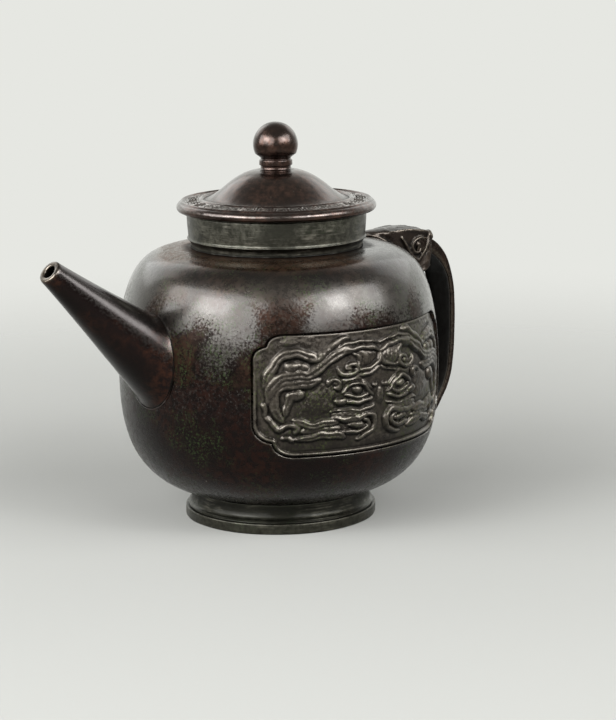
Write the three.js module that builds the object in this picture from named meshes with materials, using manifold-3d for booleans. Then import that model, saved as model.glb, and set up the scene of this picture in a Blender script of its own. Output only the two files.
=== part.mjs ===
// Bronze water dropper in the shape of a small lidded teapot, for a writing desk.
// Millimetres, +Z up. The pot is built round its own upright axis, with the spout
// towards -X, the handle towards +X and the relief panels facing -Y and +Y.

import * as THREE from 'three'
import { mergeVertices } from 'three/addons/utils/BufferGeometryUtils.js'
import Module from 'manifold-3d'

const wasm = await Module()
wasm.setup()

// Fits and walls
const seamGap = 0.3            // thin joint round a piece that is soldered or let in
const lidPlay = 0.4            // play of the lid's locating ring in the neck bore
const bodyWall = 3.2
const spoutWall = 1.3
const lidWall = 1.8

// Foot: a rim band, a groove, a ledge with a cove and a plain drum
const footRimRadius = 21.6
const footRimHeight = 2.4
const footLedgeRadius = 21.2
const footDrumRadius = 20.0
const footBoreRadius = 17.6
const footCoveHeight = 2.2
const footEdgeBreak = 0.3
const footGrooveDepth = 0.5
const footGrooveHeight = 0.4

// Base plate that closes the casting from below
const undersideHeight = 5.6    // flat underside of the body above the table
const basePlateThickness = 1.7
const baseHoleRadius = 12.4    // hole in the body that the core came out of

// Body: widest at the belt, with a square shoulder above and a rounder belly below
const bodyRadius = 36.05
const bellyDrop = 30.6         // from the belt down to the flat underside
const bellyPole = 31.15        // from the belt to where the belly's curve would meet the axis
const bellyOut = 3.54
const bellyUp = 3.09
const shoulderRise = 25.0
const shoulderOut = 8.9
const shoulderUp = 1.85

// Neck collar
const neckHeight = 7.8
const neckRadius = 20.1
const neckBandRadius = 19.1    // the set-back band below the ridge
const neckBandHeight = 1.9
const neckRidgeHeight = 0.3
const neckBoreRadius = 17.4
const neckEdgeBreak = 0.4

// Lid
const lidRadius = 22.35
const lidUndersideRadius = 21.6
const lidRimHeight = 1.1       // underside to the widest level
const lidRimTop = 2.0
const lidRimTopRadius = 21.9
const fretOuterRadius = 20.7
const fretInnerRadius = 17.2
const fretRise = 2.7           // underside to the fret band's middle
const fretSlope = 0.35
const ringBeadHeight = 0.35
const ringBeadWidth = 0.9
const domeFootRise = 2.6
const domeRise = 9.4           // underside to the flat crown
const domeSpread = 16.8
const domeFullness = 1.62
const locatorDepth = 5.0
const locatorWall = 1.6

// Knob
const ballRadius = 5.04
const ballRise = 5.3           // crown to the centre of the ball
const knobCollarRadius = 3.5
const knobCollarBead = 1.2
const knobFootBead = 0.5
const knobGroove = 0.2         // between the two beads
const knobWaistRadius = 3.35
const knobWaistRise = 0.25     // collar bead to the waist
const ballUnderside = 28 * Math.PI / 180   // below its equator the ball runs into the waist
const tangRadius = 1.5
const rivetHeadRadius = 2.6
const rivetHeadHeight = 0.8
const washerRadius = 4.6
const washerThickness = 0.8

// Spout: a straight cone
const spoutAngle = 40 * Math.PI / 180
const spoutRootHeight = 5.3    // axis above the belt, where it meets the body's side
const spoutLength = 31.9
const spoutRootRadius = 7.8
const spoutTipRadius = 2.4
const spoutHoleRadius = 1.5
const spoutPassRadius = 5.4    // hole through the body's wall

// Handle strap
const handleReach = 13.8       // body's side to the strap's outer face
const handleLowRise = 7.7      // flat underside of the body to the lower root
const handleTopDrop = 3.2      // shoulder to where the strap leaves the head
const strapThickness = 2.1
const strapRootThickness = 4.6
const strapTopWidth = 9.0
const strapLowWidth = 6.4

// Beast head at the top of the handle, measured from the body's side and shoulder
const headReach = 6.5
const headTongue = 12.0
const headRise = 1.4
const headDrop = 11.0
const headWidth = 10.0
const tongueWidth = 3.6

// Relief panels, let into both sides of the body
const panelHalfWidth = 26.4
const panelTopDrop = 13.9      // shoulder top to the panel's upper edge
const panelHeight = 26.7
const panelThickness = 1.0
const panelSink = 0.9          // field below the body's surface
const panelRimWidth = 0.9
const panelUpperCorner = 5.4
const panelLowerCorner = 7.2
const cuspShare = 0.45         // share of a corner's size where its two curves meet
const bendShare = 0.05         // how far the curves stand off the corner's square
const reliefRise = 0.0         // top of the relief, set against the body's surface
const bandWidth = 1.7          // widest part of a relief band
const eyeRadius = 1.9
const noseRadius = 1.3
const beadRadius = 1.1

// Levels that follow from the sizes above
const beltHeight = undersideHeight + bellyDrop
const shoulderTop = beltHeight + shoulderRise
const neckSeat = shoulderHeight(neckBandRadius + seamGap)
const lidSeat = neckSeat + neckHeight
const crownHeight = lidSeat + domeRise
const panelTop = shoulderTop - panelTopDrop
const panelBottom = panelTop - panelHeight

// Smoothness
const turns = 48
const curvePoints = 10
const domePoints = 7
const cornerSteps = 3

// Height of the shoulder's curve at a given radius
function shoulderHeight(radius) {
  return beltHeight + shoulderRise * (1 - (radius / bodyRadius) ** shoulderOut) ** (1 / shoulderUp)
}

// Height of the belly's curve at a given radius
function bellyHeight(radius) {
  return beltHeight - bellyPole * (1 - (radius / bodyRadius) ** bellyOut) ** (1 / bellyUp)
}

// Radius of the body's curve at a given height
function bodyRadiusAt(height) {
  const above = height > beltHeight
  const share = above ? (height - beltHeight) / shoulderRise : (beltHeight - height) / bellyPole
  const up = above ? shoulderUp : bellyUp
  const out = above ? shoulderOut : bellyOut
  return bodyRadius * (1 - Math.min(share, 1) ** up) ** (1 / out)
}

// Points on one quarter of the body's outline, moved out by offset, from the belt to the pole.
// Each point is where a ray from the belt's centre meets the curve.
function quarterOutline(offset, rise, out, up, side) {
  const points = []
  const radius = bodyRadius + offset
  const height = rise + offset
  for (let step = 0; step <= curvePoints; step++) {
    const angle = step / curvePoints * Math.PI / 2
    let near = 0
    let far = radius + height
    for (let halving = 0; halving < 40; halving++) {
      const reach = (near + far) / 2
      const inside = (reach * Math.cos(angle) / radius) ** out + (reach * Math.sin(angle) / height) ** up < 1
      if (inside) near = reach
      else far = reach
    }
    const last = step === curvePoints
    points.push([last ? 0 : near * Math.cos(angle), beltHeight + side * near * Math.sin(angle)])
  }
  return points
}

// The body's whole outline, moved out by offset, from the lower pole to the upper one
function bodyOutline(offset) {
  const belly = quarterOutline(offset, bellyPole, bellyOut, bellyUp, -1).reverse()
  const shoulder = quarterOutline(offset, shoulderRise, shoulderOut, shoulderUp, 1)
  return [...belly, ...shoulder.slice(1)]
}

// Turns a profile of [radius, height] points, listed anticlockwise, round the Z axis
function turned(profile, segments = turns) {
  const points = profile.map(([radius, height]) => new THREE.Vector2(radius, height))
  return new THREE.LatheGeometry(points, segments).rotateX(Math.PI / 2)
}

// A ring: the profile is closed on itself
function turnedRing(profile, segments = turns) {
  return turned([...profile, profile[0]], segments)
}

// Extrudes a shape drawn in X and Z along Y, from low to high
function alongY(shape, low, high, curveSegments = 4) {
  const geometry = new THREE.ExtrudeGeometry(shape, { depth: high - low, bevelEnabled: false, curveSegments })
  return geometry.rotateX(Math.PI / 2).translate(0, high, 0)
}

// Turns a closed geometry into a solid that can be cut and joined
function solid(geometry) {
  const bare = geometry.index ? geometry.toNonIndexed() : geometry.clone()
  bare.deleteAttribute('normal')
  bare.deleteAttribute('uv')
  const merged = mergeVertices(bare, 1e-4)
  const corners = merged.index.array
  const triangles = []
  for (let first = 0; first < corners.length; first += 3) {
    const [a, b, c] = corners.slice(first, first + 3)
    if (a !== b && b !== c && c !== a) triangles.push(a, b, c)
  }
  return new wasm.Manifold(new wasm.Mesh({
    numProp: 3,
    vertProperties: new Float32Array(merged.attributes.position.array),
    triVerts: new Uint32Array(triangles),
  }))
}

// Turns a solid back into a geometry
function shell(body) {
  const mesh = body.getMesh()
  const geometry = new THREE.BufferGeometry()
  geometry.setAttribute('position', new THREE.BufferAttribute(mesh.vertProperties, 3))
  geometry.setIndex(new THREE.BufferAttribute(mesh.triVerts, 1))
  geometry.computeVertexNormals()
  return geometry
}

// The body as one full solid, grown or shrunk by offset
function fullBody(offset) {
  return solid(turned(bodyOutline(offset)))
}

// Finishes
const patina = new THREE.MeshStandardMaterial({ color: 0x2e2724, roughness: 0.35, metalness: 0.9 })
const greenPatina = new THREE.MeshStandardMaterial({ color: 0x3c3d33, roughness: 0.45, metalness: 0.85 })
const lidPatina = new THREE.MeshStandardMaterial({ color: 0x3b2f2d, roughness: 0.32, metalness: 0.9 })
const reliefPatina = new THREE.MeshStandardMaterial({ color: 0x35332c, roughness: 0.5, metalness: 0.85 })
const innerBronze = new THREE.MeshStandardMaterial({ color: 0x5a4a35, roughness: 0.6, metalness: 0.8 })

const dropper = new THREE.Group()

// Adds one named piece
function add(name, geometry, material) {
  const mesh = new THREE.Mesh(geometry, material)
  mesh.name = name
  dropper.add(mesh)
}

// Moves a geometry from the spout's own axis, where it stands along Z, to its place
function placeOnSpout(geometry) {
  return geometry
    .rotateY(spoutAngle - Math.PI / 2)
    .translate(-bodyRadius, 0, beltHeight + spoutRootHeight)
}

// Radius of the spout's outside at a distance along its axis from the body's side
function spoutRadiusAt(distance) {
  return spoutRootRadius + (spoutTipRadius - spoutRootRadius) * distance / spoutLength
}

// Radius of the spout's bore at the same distance
function spoutBoreAt(distance) {
  const rootBore = spoutRootRadius - spoutWall
  return rootBore + (spoutHoleRadius - rootBore) * distance / spoutLength
}

// Outline of a relief panel, drawn in X and Z, drawn in from the edge by inset.
// Each corner is two curves that meet in a small inward point.
function panelShape(inset) {
  const middle = (panelTop + panelBottom) / 2
  const side = panelHalfWidth - inset
  const half = panelHeight / 2 - inset
  const points = []
  for (const [right, upper] of [[1, -1], [1, 1], [-1, 1], [-1, -1]]) {
    const size = upper > 0 ? panelUpperCorner : panelLowerCorner
    const at = (fromSide, fromEnd) =>
      new THREE.Vector2(right * (side - fromSide * size), middle + upper * (half - fromEnd * size))
    const meeting = at(cuspShare, cuspShare)
    const level = new THREE.QuadraticBezierCurve(at(1, 0), at(1 - cuspShare, bendShare), meeting)
    const upright = new THREE.QuadraticBezierCurve(meeting, at(bendShare, 1 - cuspShare), at(0, 1))
    const corner = [...level.getPoints(cornerSteps), ...upright.getPoints(cornerSteps).slice(1)]
    if (right * upper > 0) corner.reverse()
    points.push(...corner)
  }
  return new THREE.Shape(points)
}

// A prism of the panel's outline that reaches from inside the body to clear of it.
// facing is -1 for the front and 1 for the back.
function panelPrism(inset, facing) {
  const inner = bodyRadius / 4
  const outer = bodyRadius + panelThickness
  const low = facing < 0 ? -outer : inner
  const high = facing < 0 ? -inner : outer
  return solid(alongY(panelShape(inset), low, high))
}

function bodyShell() {
  const outer = bodyOutline(0)
  const inner = bodyOutline(-bodyWall)
  const mouthEdge = neckBandRadius + seamGap
  const keptOuter = outer.filter(([radius, height]) =>
    height > beltHeight ? radius > mouthEdge : height > undersideHeight)
  const keptInner = inner.filter(([radius, height]) =>
    height > beltHeight ? radius > neckBoreRadius : radius > baseHoleRadius)
  const wallProfile = [
    [baseHoleRadius, undersideHeight],
    [bodyRadiusAt(undersideHeight), undersideHeight],
    ...keptOuter,
    [mouthEdge, neckSeat],
    [neckBoreRadius, neckSeat],
    [neckBoreRadius, neckSeat - bodyWall],
    ...keptInner.reverse(),
    [baseHoleRadius, undersideHeight + bodyWall],
  ]
  let body = solid(turnedRing(wallProfile))
  const seatDepth = panelSink + panelThickness + seamGap
  for (const facing of [-1, 1]) {
    body = body.subtract(panelPrism(0, facing).subtract(fullBody(-seatDepth)))
  }
  const inward = -3 * bodyWall
  const outward = 2 * bodyWall
  const pass = turned([
    [0, inward],
    [spoutPassRadius, inward],
    [spoutPassRadius, outward],
    [0, outward],
  ], turns / 2)
  return body.subtract(solid(placeOnSpout(pass)))
}

function neckCollar() {
  const ridge = neckSeat + neckBandHeight
  return turnedRing([
    [neckBoreRadius, neckSeat],
    [neckBandRadius, neckSeat],
    [neckBandRadius, ridge],
    [neckRadius, ridge + neckRidgeHeight],
    [neckRadius, lidSeat - neckEdgeBreak],
    [neckRadius - neckEdgeBreak, lidSeat],
    [neckBoreRadius, lidSeat],
  ])
}

function footRing() {
  const grooveTop = footRimHeight + footGrooveHeight
  const cove = new THREE.QuadraticBezierCurve(
    new THREE.Vector2(footLedgeRadius, grooveTop),
    new THREE.Vector2(footDrumRadius, grooveTop),
    new THREE.Vector2(footDrumRadius, grooveTop + footCoveHeight),
  ).getPoints(cornerSteps).slice(1).map((point) => [point.x, point.y])
  return turnedRing([
    [footBoreRadius, 0],
    [footRimRadius - footEdgeBreak, 0],
    [footRimRadius, footEdgeBreak],
    [footRimRadius, footRimHeight],
    [footLedgeRadius - footGrooveDepth, footRimHeight],
    [footLedgeRadius - footGrooveDepth, grooveTop],
    [footLedgeRadius, grooveTop],
    ...cove,
    [footDrumRadius, bellyHeight(footDrumRadius) - seamGap],
    [footBoreRadius, bellyHeight(footBoreRadius) - seamGap],
  ])
}

function basePlate() {
  const radius = footBoreRadius - seamGap
  return turned([
    [0, undersideHeight - basePlateThickness],
    [radius, undersideHeight - basePlateThickness],
    [radius, undersideHeight],
    [0, undersideHeight],
  ])
}

function spout() {
  const start = -2 * spoutRootRadius   // inside the body, so that its surface trims the root
  const cone = placeOnSpout(turnedRing([
    [spoutBoreAt(start), start],
    [spoutRadiusAt(start), start],
    [spoutTipRadius, spoutLength],
    [spoutHoleRadius, spoutLength],
  ], turns / 2))
  return solid(cone).subtract(fullBody(seamGap))
}

// Points down the outside of the strap, from inside the head to inside the body.
// Each pair is a share of the reach from the body's side and a share of the height.
function strapOutside() {
  const low = undersideHeight + handleLowRise
  const high = shoulderTop - handleTopDrop
  const shares = [
    [0.25, 1.03],
    [0.43, 1],
    [0.8, 0.9],
    [1, 0.64],
    [0.94, 0.4],
    [0.71, 0.19],
    [0.3, 0.05],
    [-0.25, 0],
  ]
  const points = shares.map(([out, up]) =>
    new THREE.Vector2(bodyRadius + handleReach * out, low + (high - low) * up))
  return new THREE.SplineCurve(points)
}

// Side view of the strap: the outside curve, and the same curve drawn in by its thickness
function strapShape() {
  const curve = strapOutside()
  const steps = 2 * curvePoints
  const outside = curve.getSpacedPoints(steps)
  const inside = outside.map((point, index) => {
    const tangent = curve.getTangentAt(index / steps)
    const rootShare = Math.max(0, 1 - 4 * index / steps)
    const thickness = strapThickness + (strapRootThickness - strapThickness) * rootShare
    return new THREE.Vector2(point.x + tangent.y * thickness, point.y - tangent.x * thickness)
  })
  return new THREE.Shape([...outside, ...inside.reverse()])
}

function handleStrap() {
  const loop = solid(alongY(strapShape(), -strapTopWidth / 2, strapTopWidth / 2))
  const low = undersideHeight
  const high = shoulderTop
  const front = new THREE.Shape([
    new THREE.Vector2(-strapLowWidth / 2, low),
    new THREE.Vector2(strapLowWidth / 2, low),
    new THREE.Vector2(strapTopWidth / 2, high),
    new THREE.Vector2(-strapTopWidth / 2, high),
  ])
  const taper = alongY(front, -2 * bodyRadius, 2 * bodyRadius).rotateZ(Math.PI / 2)
  return loop
    .intersect(solid(taper))
    .subtract(headBlock(seamGap))
    .subtract(fullBody(seamGap))
}

// The beast head before it is fitted to the shoulder: side view and plan cut through each other.
// spread moves its back and its sides out, so that the strap can be cut clear of it.
function headBlock(spread) {
  const side = [
    [-headTongue, -headDrop],
    [-headTongue, 0.55 * headRise],
    [-0.65 * headTongue, headRise],
    [-0.2 * headTongue, 0.93 * headRise],
    [0.4 * headReach + spread, 0.25 * headRise],
    [headReach + spread, -0.13 * headDrop],
    [0.94 * headReach + spread, -0.38 * headDrop],
    [0.7 * headReach + spread, -0.8 * headDrop],
    [0.33 * headReach + spread, -headDrop],
  ]
  const plan = [
    [-headTongue, tongueWidth / 2],
    [-0.65 * headTongue, 0.72 * tongueWidth],
    [-0.25 * headTongue, 0.46 * headWidth],
    [0.5 * headReach, 0.5 * headWidth],
    [2 * headReach, 0.5 * headWidth],
  ]
  const sideShape = new THREE.Shape(side.map(([out, up]) =>
    new THREE.Vector2(bodyRadius + out, shoulderTop + up)))
  const half = plan.map(([out, across]) => new THREE.Vector2(bodyRadius + out, across + spread))
  const mirrored = half.map((point) => new THREE.Vector2(point.x, -point.y)).reverse()
  const planGeometry = new THREE.ExtrudeGeometry(new THREE.Shape([...mirrored, ...half]), {
    depth: headDrop + 4 * headRise,
    bevelEnabled: false,
  }).translate(0, 0, shoulderTop - headDrop - headRise)
  return solid(alongY(sideShape, -headWidth, headWidth)).intersect(solid(planGeometry))
}

function handleHead() {
  return headBlock(0).subtract(fullBody(seamGap))
}

// Centre lines of the bands on the left half of a beast mask, as shares of the panel's
// half width and half height, counted from its middle. The right half mirrors them.
const maskBands = {
  upperMane: [
    [-0.93, 0.16], [-0.9, 0.4], [-0.8, 0.66], [-0.7, 0.68], [-0.58, 0.6], [-0.44, 0.78], [-0.3, 0.88],
  ],
  middleMane: [
    [-0.92, -0.1], [-0.86, 0.25], [-0.72, 0.37], [-0.58, 0.38], [-0.42, 0.62], [-0.2, 0.73], [-0.03, 0.66],
  ],
  innerMane: [[-0.83, -0.36], [-0.87, -0.1], [-0.8, 0.19], [-0.7, 0.22], [-0.57, 0.24]],
  comma: [[-0.68, 0.07], [-0.74, 0.04], [-0.79, -0.14], [-0.81, -0.31]],
  brow: [[-0.4, 0.43], [-0.3, 0.46], [-0.24, 0.36], [-0.14, 0.34], [-0.03, 0.48]],
  upperLip: [[-0.45, -0.26], [-0.34, -0.29], [-0.22, -0.28], [-0.09, -0.24]],
  jaw: [[-0.43, -0.41], [-0.3, -0.42], [-0.14, -0.36], [-0.07, -0.5], [-0.11, -0.68], [-0.24, -0.77]],
  fang: [[-0.34, -0.57], [-0.24, -0.57], [-0.18, -0.47]],
  cheek: [[-0.74, -0.38], [-0.65, -0.49], [-0.54, -0.46], [-0.43, -0.46]],
  beard: [[-0.72, -0.71], [-0.63, -0.69], [-0.53, -0.63], [-0.35, -0.7]],
  tuft: [[-0.92, -0.37], [-0.86, -0.5], [-0.79, -0.5], [-0.72, -0.58]],
}

// A point on the panel from its shares
function panelPoint([across, up]) {
  const middle = (panelTop + panelBottom) / 2
  return new THREE.Vector2(across * panelHalfWidth, middle + up * panelHeight / 2)
}

// Outline of a band that runs along its centre line and narrows to both ends
function bandShape(centreLine) {
  const curve = new THREE.SplineCurve(centreLine.map(panelPoint))
  const steps = centreLine.length + 3
  const left = []
  const right = []
  for (let step = 0; step <= steps; step++) {
    const share = step / steps
    const half = bandWidth / 2 * (0.4 + 0.6 * Math.sin(Math.PI * share))
    const point = curve.getPoint(share)
    const tangent = curve.getTangent(share)
    left.push(new THREE.Vector2(point.x - tangent.y * half, point.y + tangent.x * half))
    right.push(new THREE.Vector2(point.x + tangent.y * half, point.y - tangent.x * half))
  }
  return new THREE.Shape([...left, ...right.reverse()])
}

// A round boss on the mask
function bossShape(centre, radius) {
  const point = panelPoint(centre)
  return new THREE.Shape().absarc(point.x, point.y, radius, 0, 2 * Math.PI)
}

// The raised mask of one panel: prisms along Y that the body's surface trims later
function mask(facing) {
  const shapes = Object.values(maskBands).map(bandShape)
  shapes.push(bossShape([-0.235, 0.02], eyeRadius))
  shapes.push(bossShape([-0.38, -0.11], beadRadius))
  const inner = bodyRadius / 4
  const outer = bodyRadius + panelThickness
  const half = shapes
    .map((shape) => solid(alongY(shape, inner, outer, 3)))
    .reduce((sum, next) => sum.add(next))
  const nose = solid(alongY(bossShape([0, 0.07], noseRadius), inner, outer, 3))
  const whole = half.add(half.mirror([1, 0, 0])).add(nose)
  return facing < 0 ? whole.mirror([0, 1, 0]) : whole
}

function reliefPanel(facing) {
  const back = panelSink + panelThickness
  const field = panelPrism(seamGap, facing).intersect(fullBody(-panelSink))
  const rim = panelPrism(seamGap, facing).subtract(panelPrism(seamGap + panelRimWidth, facing))
  const raised = rim.add(mask(facing)).intersect(fullBody(reliefRise))
  return field.add(raised).subtract(fullBody(-back))
}

// Height of the lid's dome at a given radius: a bell with a flat crown
function domeHeight(radius) {
  const share = Math.min(radius / domeSpread, 1) ** domeFullness
  const foot = lidSeat + domeFootRise
  return foot + (crownHeight - foot) * 0.5 * (1 + Math.cos(Math.PI * share))
}

function lidPlate() {
  const holeRadius = tangRadius + seamGap
  const seatRadius = knobCollarRadius + seamGap
  const openRadius = neckBoreRadius - lidPlay - locatorWall
  const outerBead = lidSeat + fretRise - fretSlope
  const innerBead = lidSeat + fretRise + fretSlope / 2
  const domeFootRadius = fretInnerRadius - ringBeadWidth
  const outside = []
  const inside = []
  for (let step = 0; step <= domePoints; step++) {
    const radius = domeFootRadius + (seatRadius - domeFootRadius) * step / domePoints
    outside.push([radius, domeHeight(radius)])
    const innerRadius = washerRadius + (openRadius - washerRadius) * step / domePoints
    inside.push([innerRadius, domeHeight(innerRadius) - lidWall])
  }
  outside.pop()
  inside.shift()
  return turnedRing([
    [openRadius, lidSeat],
    [lidUndersideRadius, lidSeat],
    [lidRadius, lidSeat + lidRimHeight],
    [lidRimTopRadius, lidSeat + lidRimTop],
    [fretOuterRadius + ringBeadWidth, outerBead],
    [fretOuterRadius + ringBeadWidth / 2, outerBead + ringBeadHeight],
    [fretOuterRadius, outerBead],
    [fretInnerRadius, innerBead],
    [fretInnerRadius - ringBeadWidth / 2, innerBead + ringBeadHeight],
    ...outside,
    [seatRadius, crownHeight],
    [holeRadius, crownHeight],
    [holeRadius, crownHeight - lidWall],
    [washerRadius, crownHeight - lidWall],
    ...inside,
  ])
}

function locatingRing() {
  const outer = neckBoreRadius - lidPlay
  return turnedRing([
    [outer - locatorWall, lidSeat - locatorDepth],
    [outer - neckEdgeBreak, lidSeat - locatorDepth],
    [outer, lidSeat - locatorDepth + neckEdgeBreak],
    [outer, lidSeat],
    [outer - locatorWall, lidSeat],
  ])
}

function lidKnob() {
  const centre = crownHeight + ballRise
  const rivetTop = crownHeight - lidWall - washerThickness
  const collarFoot = crownHeight + knobFootBead
  const collarTop = collarFoot + knobCollarBead
  const ball = []
  for (let step = 0; step <= curvePoints; step++) {
    const angle = (Math.PI / 2 + ballUnderside) * step / curvePoints - ballUnderside
    const last = step === curvePoints
    ball.push([last ? 0 : ballRadius * Math.cos(angle), centre + ballRadius * Math.sin(angle)])
  }
  return turned([
    [0, rivetTop - rivetHeadHeight],
    [0.7 * rivetHeadRadius, rivetTop - rivetHeadHeight],
    [rivetHeadRadius, rivetTop],
    [tangRadius, rivetTop],
    [tangRadius, crownHeight],
    [knobCollarRadius, crownHeight],
    [knobCollarRadius, collarFoot - knobGroove],
    [knobCollarRadius - knobGroove, collarFoot],
    [knobCollarRadius, collarFoot + knobGroove],
    [knobCollarRadius, collarTop],
    [knobWaistRadius, collarTop + knobWaistRise],
    ...ball,
  ], turns / 2)
}

function knobWasher() {
  const top = crownHeight - lidWall
  const hole = tangRadius + seamGap
  return turnedRing([
    [hole, top - washerThickness],
    [washerRadius - seamGap, top - washerThickness],
    [washerRadius - seamGap, top],
    [hole, top],
  ], turns / 2)
}

add('body_shell', shell(bodyShell()), patina)
add('neck_collar', neckCollar(), greenPatina)
add('foot_ring', footRing(), greenPatina)
add('base_plate', basePlate(), innerBronze)
add('spout', shell(spout()), patina)
add('handle_strap', shell(handleStrap()), patina)
add('handle_head', shell(handleHead()), patina)
add('front_panel', shell(reliefPanel(-1)), reliefPatina)
add('back_panel', shell(reliefPanel(1)), reliefPatina)
add('locating_ring', locatingRing(), innerBronze)
add('lid_plate', lidPlate(), lidPatina)
add('lid_knob', lidKnob(), lidPatina)
add('knob_washer', knobWasher(), innerBronze)

// The origin is below the middle of the whole dropper, so the pot's own axis stands off it
const reach = new THREE.Box3().setFromObject(dropper)
dropper.position.x = -(reach.min.x + reach.max.x) / 2

export default dropper
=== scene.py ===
# %% [markdown]
# # A bronze water dropper
# A water dropper stands on a writing desk and wets the ink stone drop by drop. This one has the shape
# of a small lidded teapot: cast body, straight spout, a loop handle held by a beast's head, and a
# relief panel let into each side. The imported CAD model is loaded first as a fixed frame. It says
# where every piece goes, and the pieces made here take its places.

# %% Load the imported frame
import math

import bmesh
import bpy
import numpy as np
from mathutils import Matrix, Vector, noise


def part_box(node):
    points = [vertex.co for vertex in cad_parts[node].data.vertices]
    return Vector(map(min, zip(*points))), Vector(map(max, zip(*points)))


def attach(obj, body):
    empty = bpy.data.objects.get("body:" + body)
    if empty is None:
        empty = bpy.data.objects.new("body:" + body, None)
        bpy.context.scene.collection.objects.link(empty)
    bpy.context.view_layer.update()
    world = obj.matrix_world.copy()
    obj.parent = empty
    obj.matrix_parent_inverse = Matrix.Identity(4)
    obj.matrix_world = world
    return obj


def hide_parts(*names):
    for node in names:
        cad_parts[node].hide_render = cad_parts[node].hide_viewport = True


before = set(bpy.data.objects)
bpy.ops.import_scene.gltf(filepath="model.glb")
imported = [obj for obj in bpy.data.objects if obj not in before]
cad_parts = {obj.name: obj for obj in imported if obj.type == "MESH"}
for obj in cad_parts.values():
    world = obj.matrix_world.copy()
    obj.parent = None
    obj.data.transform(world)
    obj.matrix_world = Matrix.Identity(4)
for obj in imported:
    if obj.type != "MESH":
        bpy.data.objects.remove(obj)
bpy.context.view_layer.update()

# %% [markdown]
# Bronze is cast in millimetres, so the shapes are worked out in millimetres round the pot's own
# upright axis, and only a finished piece is brought to metres and moved to its place. The axis is
# read from the foot ring, which is round.

# %% Units and the pot's axis
MM = 0.001
foot_low, foot_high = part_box("foot_ring")
AXIS_X = (foot_low.x + foot_high.x) / 2
TO_PLACE = Matrix.Translation((AXIS_X, 0, 0)) @ Matrix.Scale(MM, 4)
scene = bpy.context.scene
print("pot axis stands at x =", round(AXIS_X / MM, 2), "mm")

# %% [markdown]
# ## Camera
# The camera stands a little above the pot and looks past the spout at the front panel. A long lens
# keeps the ellipses of the neck and foot flat. Its place was solved from those ellipses, in a frame
# where the camera looks along +Y, and is then turned round the pot's axis.

# %% Camera
LENS = 120  # mm on a 36 mm sensor that spans the picture's long side
CAMERA_DISTANCE = 541  # mm
CAMERA_RISE = math.radians(11.38)
CAMERA_ROLL = math.radians(-0.70)
CAMERA_AZIMUTH = math.radians(-38.7)
CAMERA_TURN = Matrix.Rotation(CAMERA_AZIMUTH, 4, "Z")
AIM = Vector((6.62, 0, 34.8))

backward = Vector((0, -math.cos(CAMERA_RISE), math.sin(CAMERA_RISE)))
level_right = Vector((1, 0, 0))
level_up = backward.cross(level_right)
right = level_right * math.cos(CAMERA_ROLL) + level_up * math.sin(CAMERA_ROLL)
up = backward.cross(right)
looking = Matrix((right, up, backward)).transposed().to_4x4()
standing = Matrix.Translation(AIM + backward * CAMERA_DISTANCE)
camera_data = bpy.data.cameras.new("photo_camera")
camera_data.lens = LENS
camera_data.clip_end = 20  # metres
camera = bpy.data.objects.new("photo_camera", camera_data)
scene.collection.objects.link(camera)
in_mm = CAMERA_TURN @ standing
place = Vector((AXIS_X, 0, 0)) + in_mm.to_translation() * MM
camera.matrix_world = Matrix.Translation(place) @ CAMERA_TURN @ looking
scene.camera = camera
print("camera at", [round(value, 3) for value in place])

# %% [markdown]
# ## Light and ground
# A bronze with a waxed patina is nearly black, and what the eye reads is what it mirrors. Two large
# soft boxes stand left and right of the camera like windows, each with a small brighter core for the
# sky behind its panes. Two faint boxes behind the pot light its far sides like pale walls. The room
# behind the camera and the ceiling are dimmer than the backdrop, so the metal mirrors them dark. The
# ground is plain and pale, and fades into the backdrop.

# %% Colours and nodes
def linear(code):
    """An sRGB hex value as linear colour with alpha"""
    parts = [int(code[index:index + 2], 16) / 255 for index in (1, 3, 5)]
    return [part / 12.92 if part <= 0.04045 else ((part + 0.055) / 1.055) ** 2.4 for part in parts] + [1]


def add_node(tree, kind, inputs=None, **settings):
    """Adds a node, sets it up and links or fills its inputs"""
    node = tree.nodes.new("ShaderNode" + kind)
    for name, value in settings.items():
        setattr(node, name, value)
    for socket, value in (inputs or {}).items():
        if isinstance(value, bpy.types.NodeSocket):
            tree.links.new(value, node.inputs[socket])
        else:
            node.inputs[socket].default_value = value
    return node


def ramp(tree, value, start, end, low=0, high=1, smooth=False):
    """Maps a value between start and end onto low to high, and holds it there outside them"""
    span = {"Value": value, "From Min": start, "From Max": end, "To Min": low, "To Max": high}
    kind = "SMOOTHSTEP" if smooth else "LINEAR"
    return add_node(tree, "MapRange", span, interpolation_type=kind).outputs[0]


def maths(tree, operation, *values, clamp=False):
    """One sum on sockets or numbers"""
    return add_node(tree, "Math", dict(enumerate(values)), operation=operation, use_clamp=clamp).outputs[0]


def times(tree, product, *factors):
    """The product of some shares"""
    for factor in factors:
        product = maths(tree, "MULTIPLY", product, factor, clamp=True)
    return product


def blend(tree, share, first, second):
    """Mixes two colours by a share. A colour is a socket or a hex value."""
    mix = add_node(tree, "Mix", {0: share}, data_type="RGBA")
    for index, colour in ((6, first), (7, second)):
        if isinstance(colour, bpy.types.NodeSocket):
            tree.links.new(colour, mix.inputs[index])
        else:
            mix.inputs[index].default_value = linear(colour)
    return mix.outputs[2]


def fresh_tree(owner):
    """The emptied node tree of a world or material"""
    owner.use_nodes = True
    owner.node_tree.nodes.clear()
    return owner.node_tree


# %% Room
ROOM_COLOUR = "#e6e7e2"
FRONT_COLOUR = "#a19f99"  # the room behind the camera, which only the metal mirrors
CEILING_COLOUR = "#7c7a75"
ROOM_LIGHT = 0.15  # strength of the room's light on the object
BACKDROP = 0.3, 0.75  # how far a direction points away from the camera where it fades in
CEILING = 0.5, 0.9  # how far a direction points up where it fades in


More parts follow.
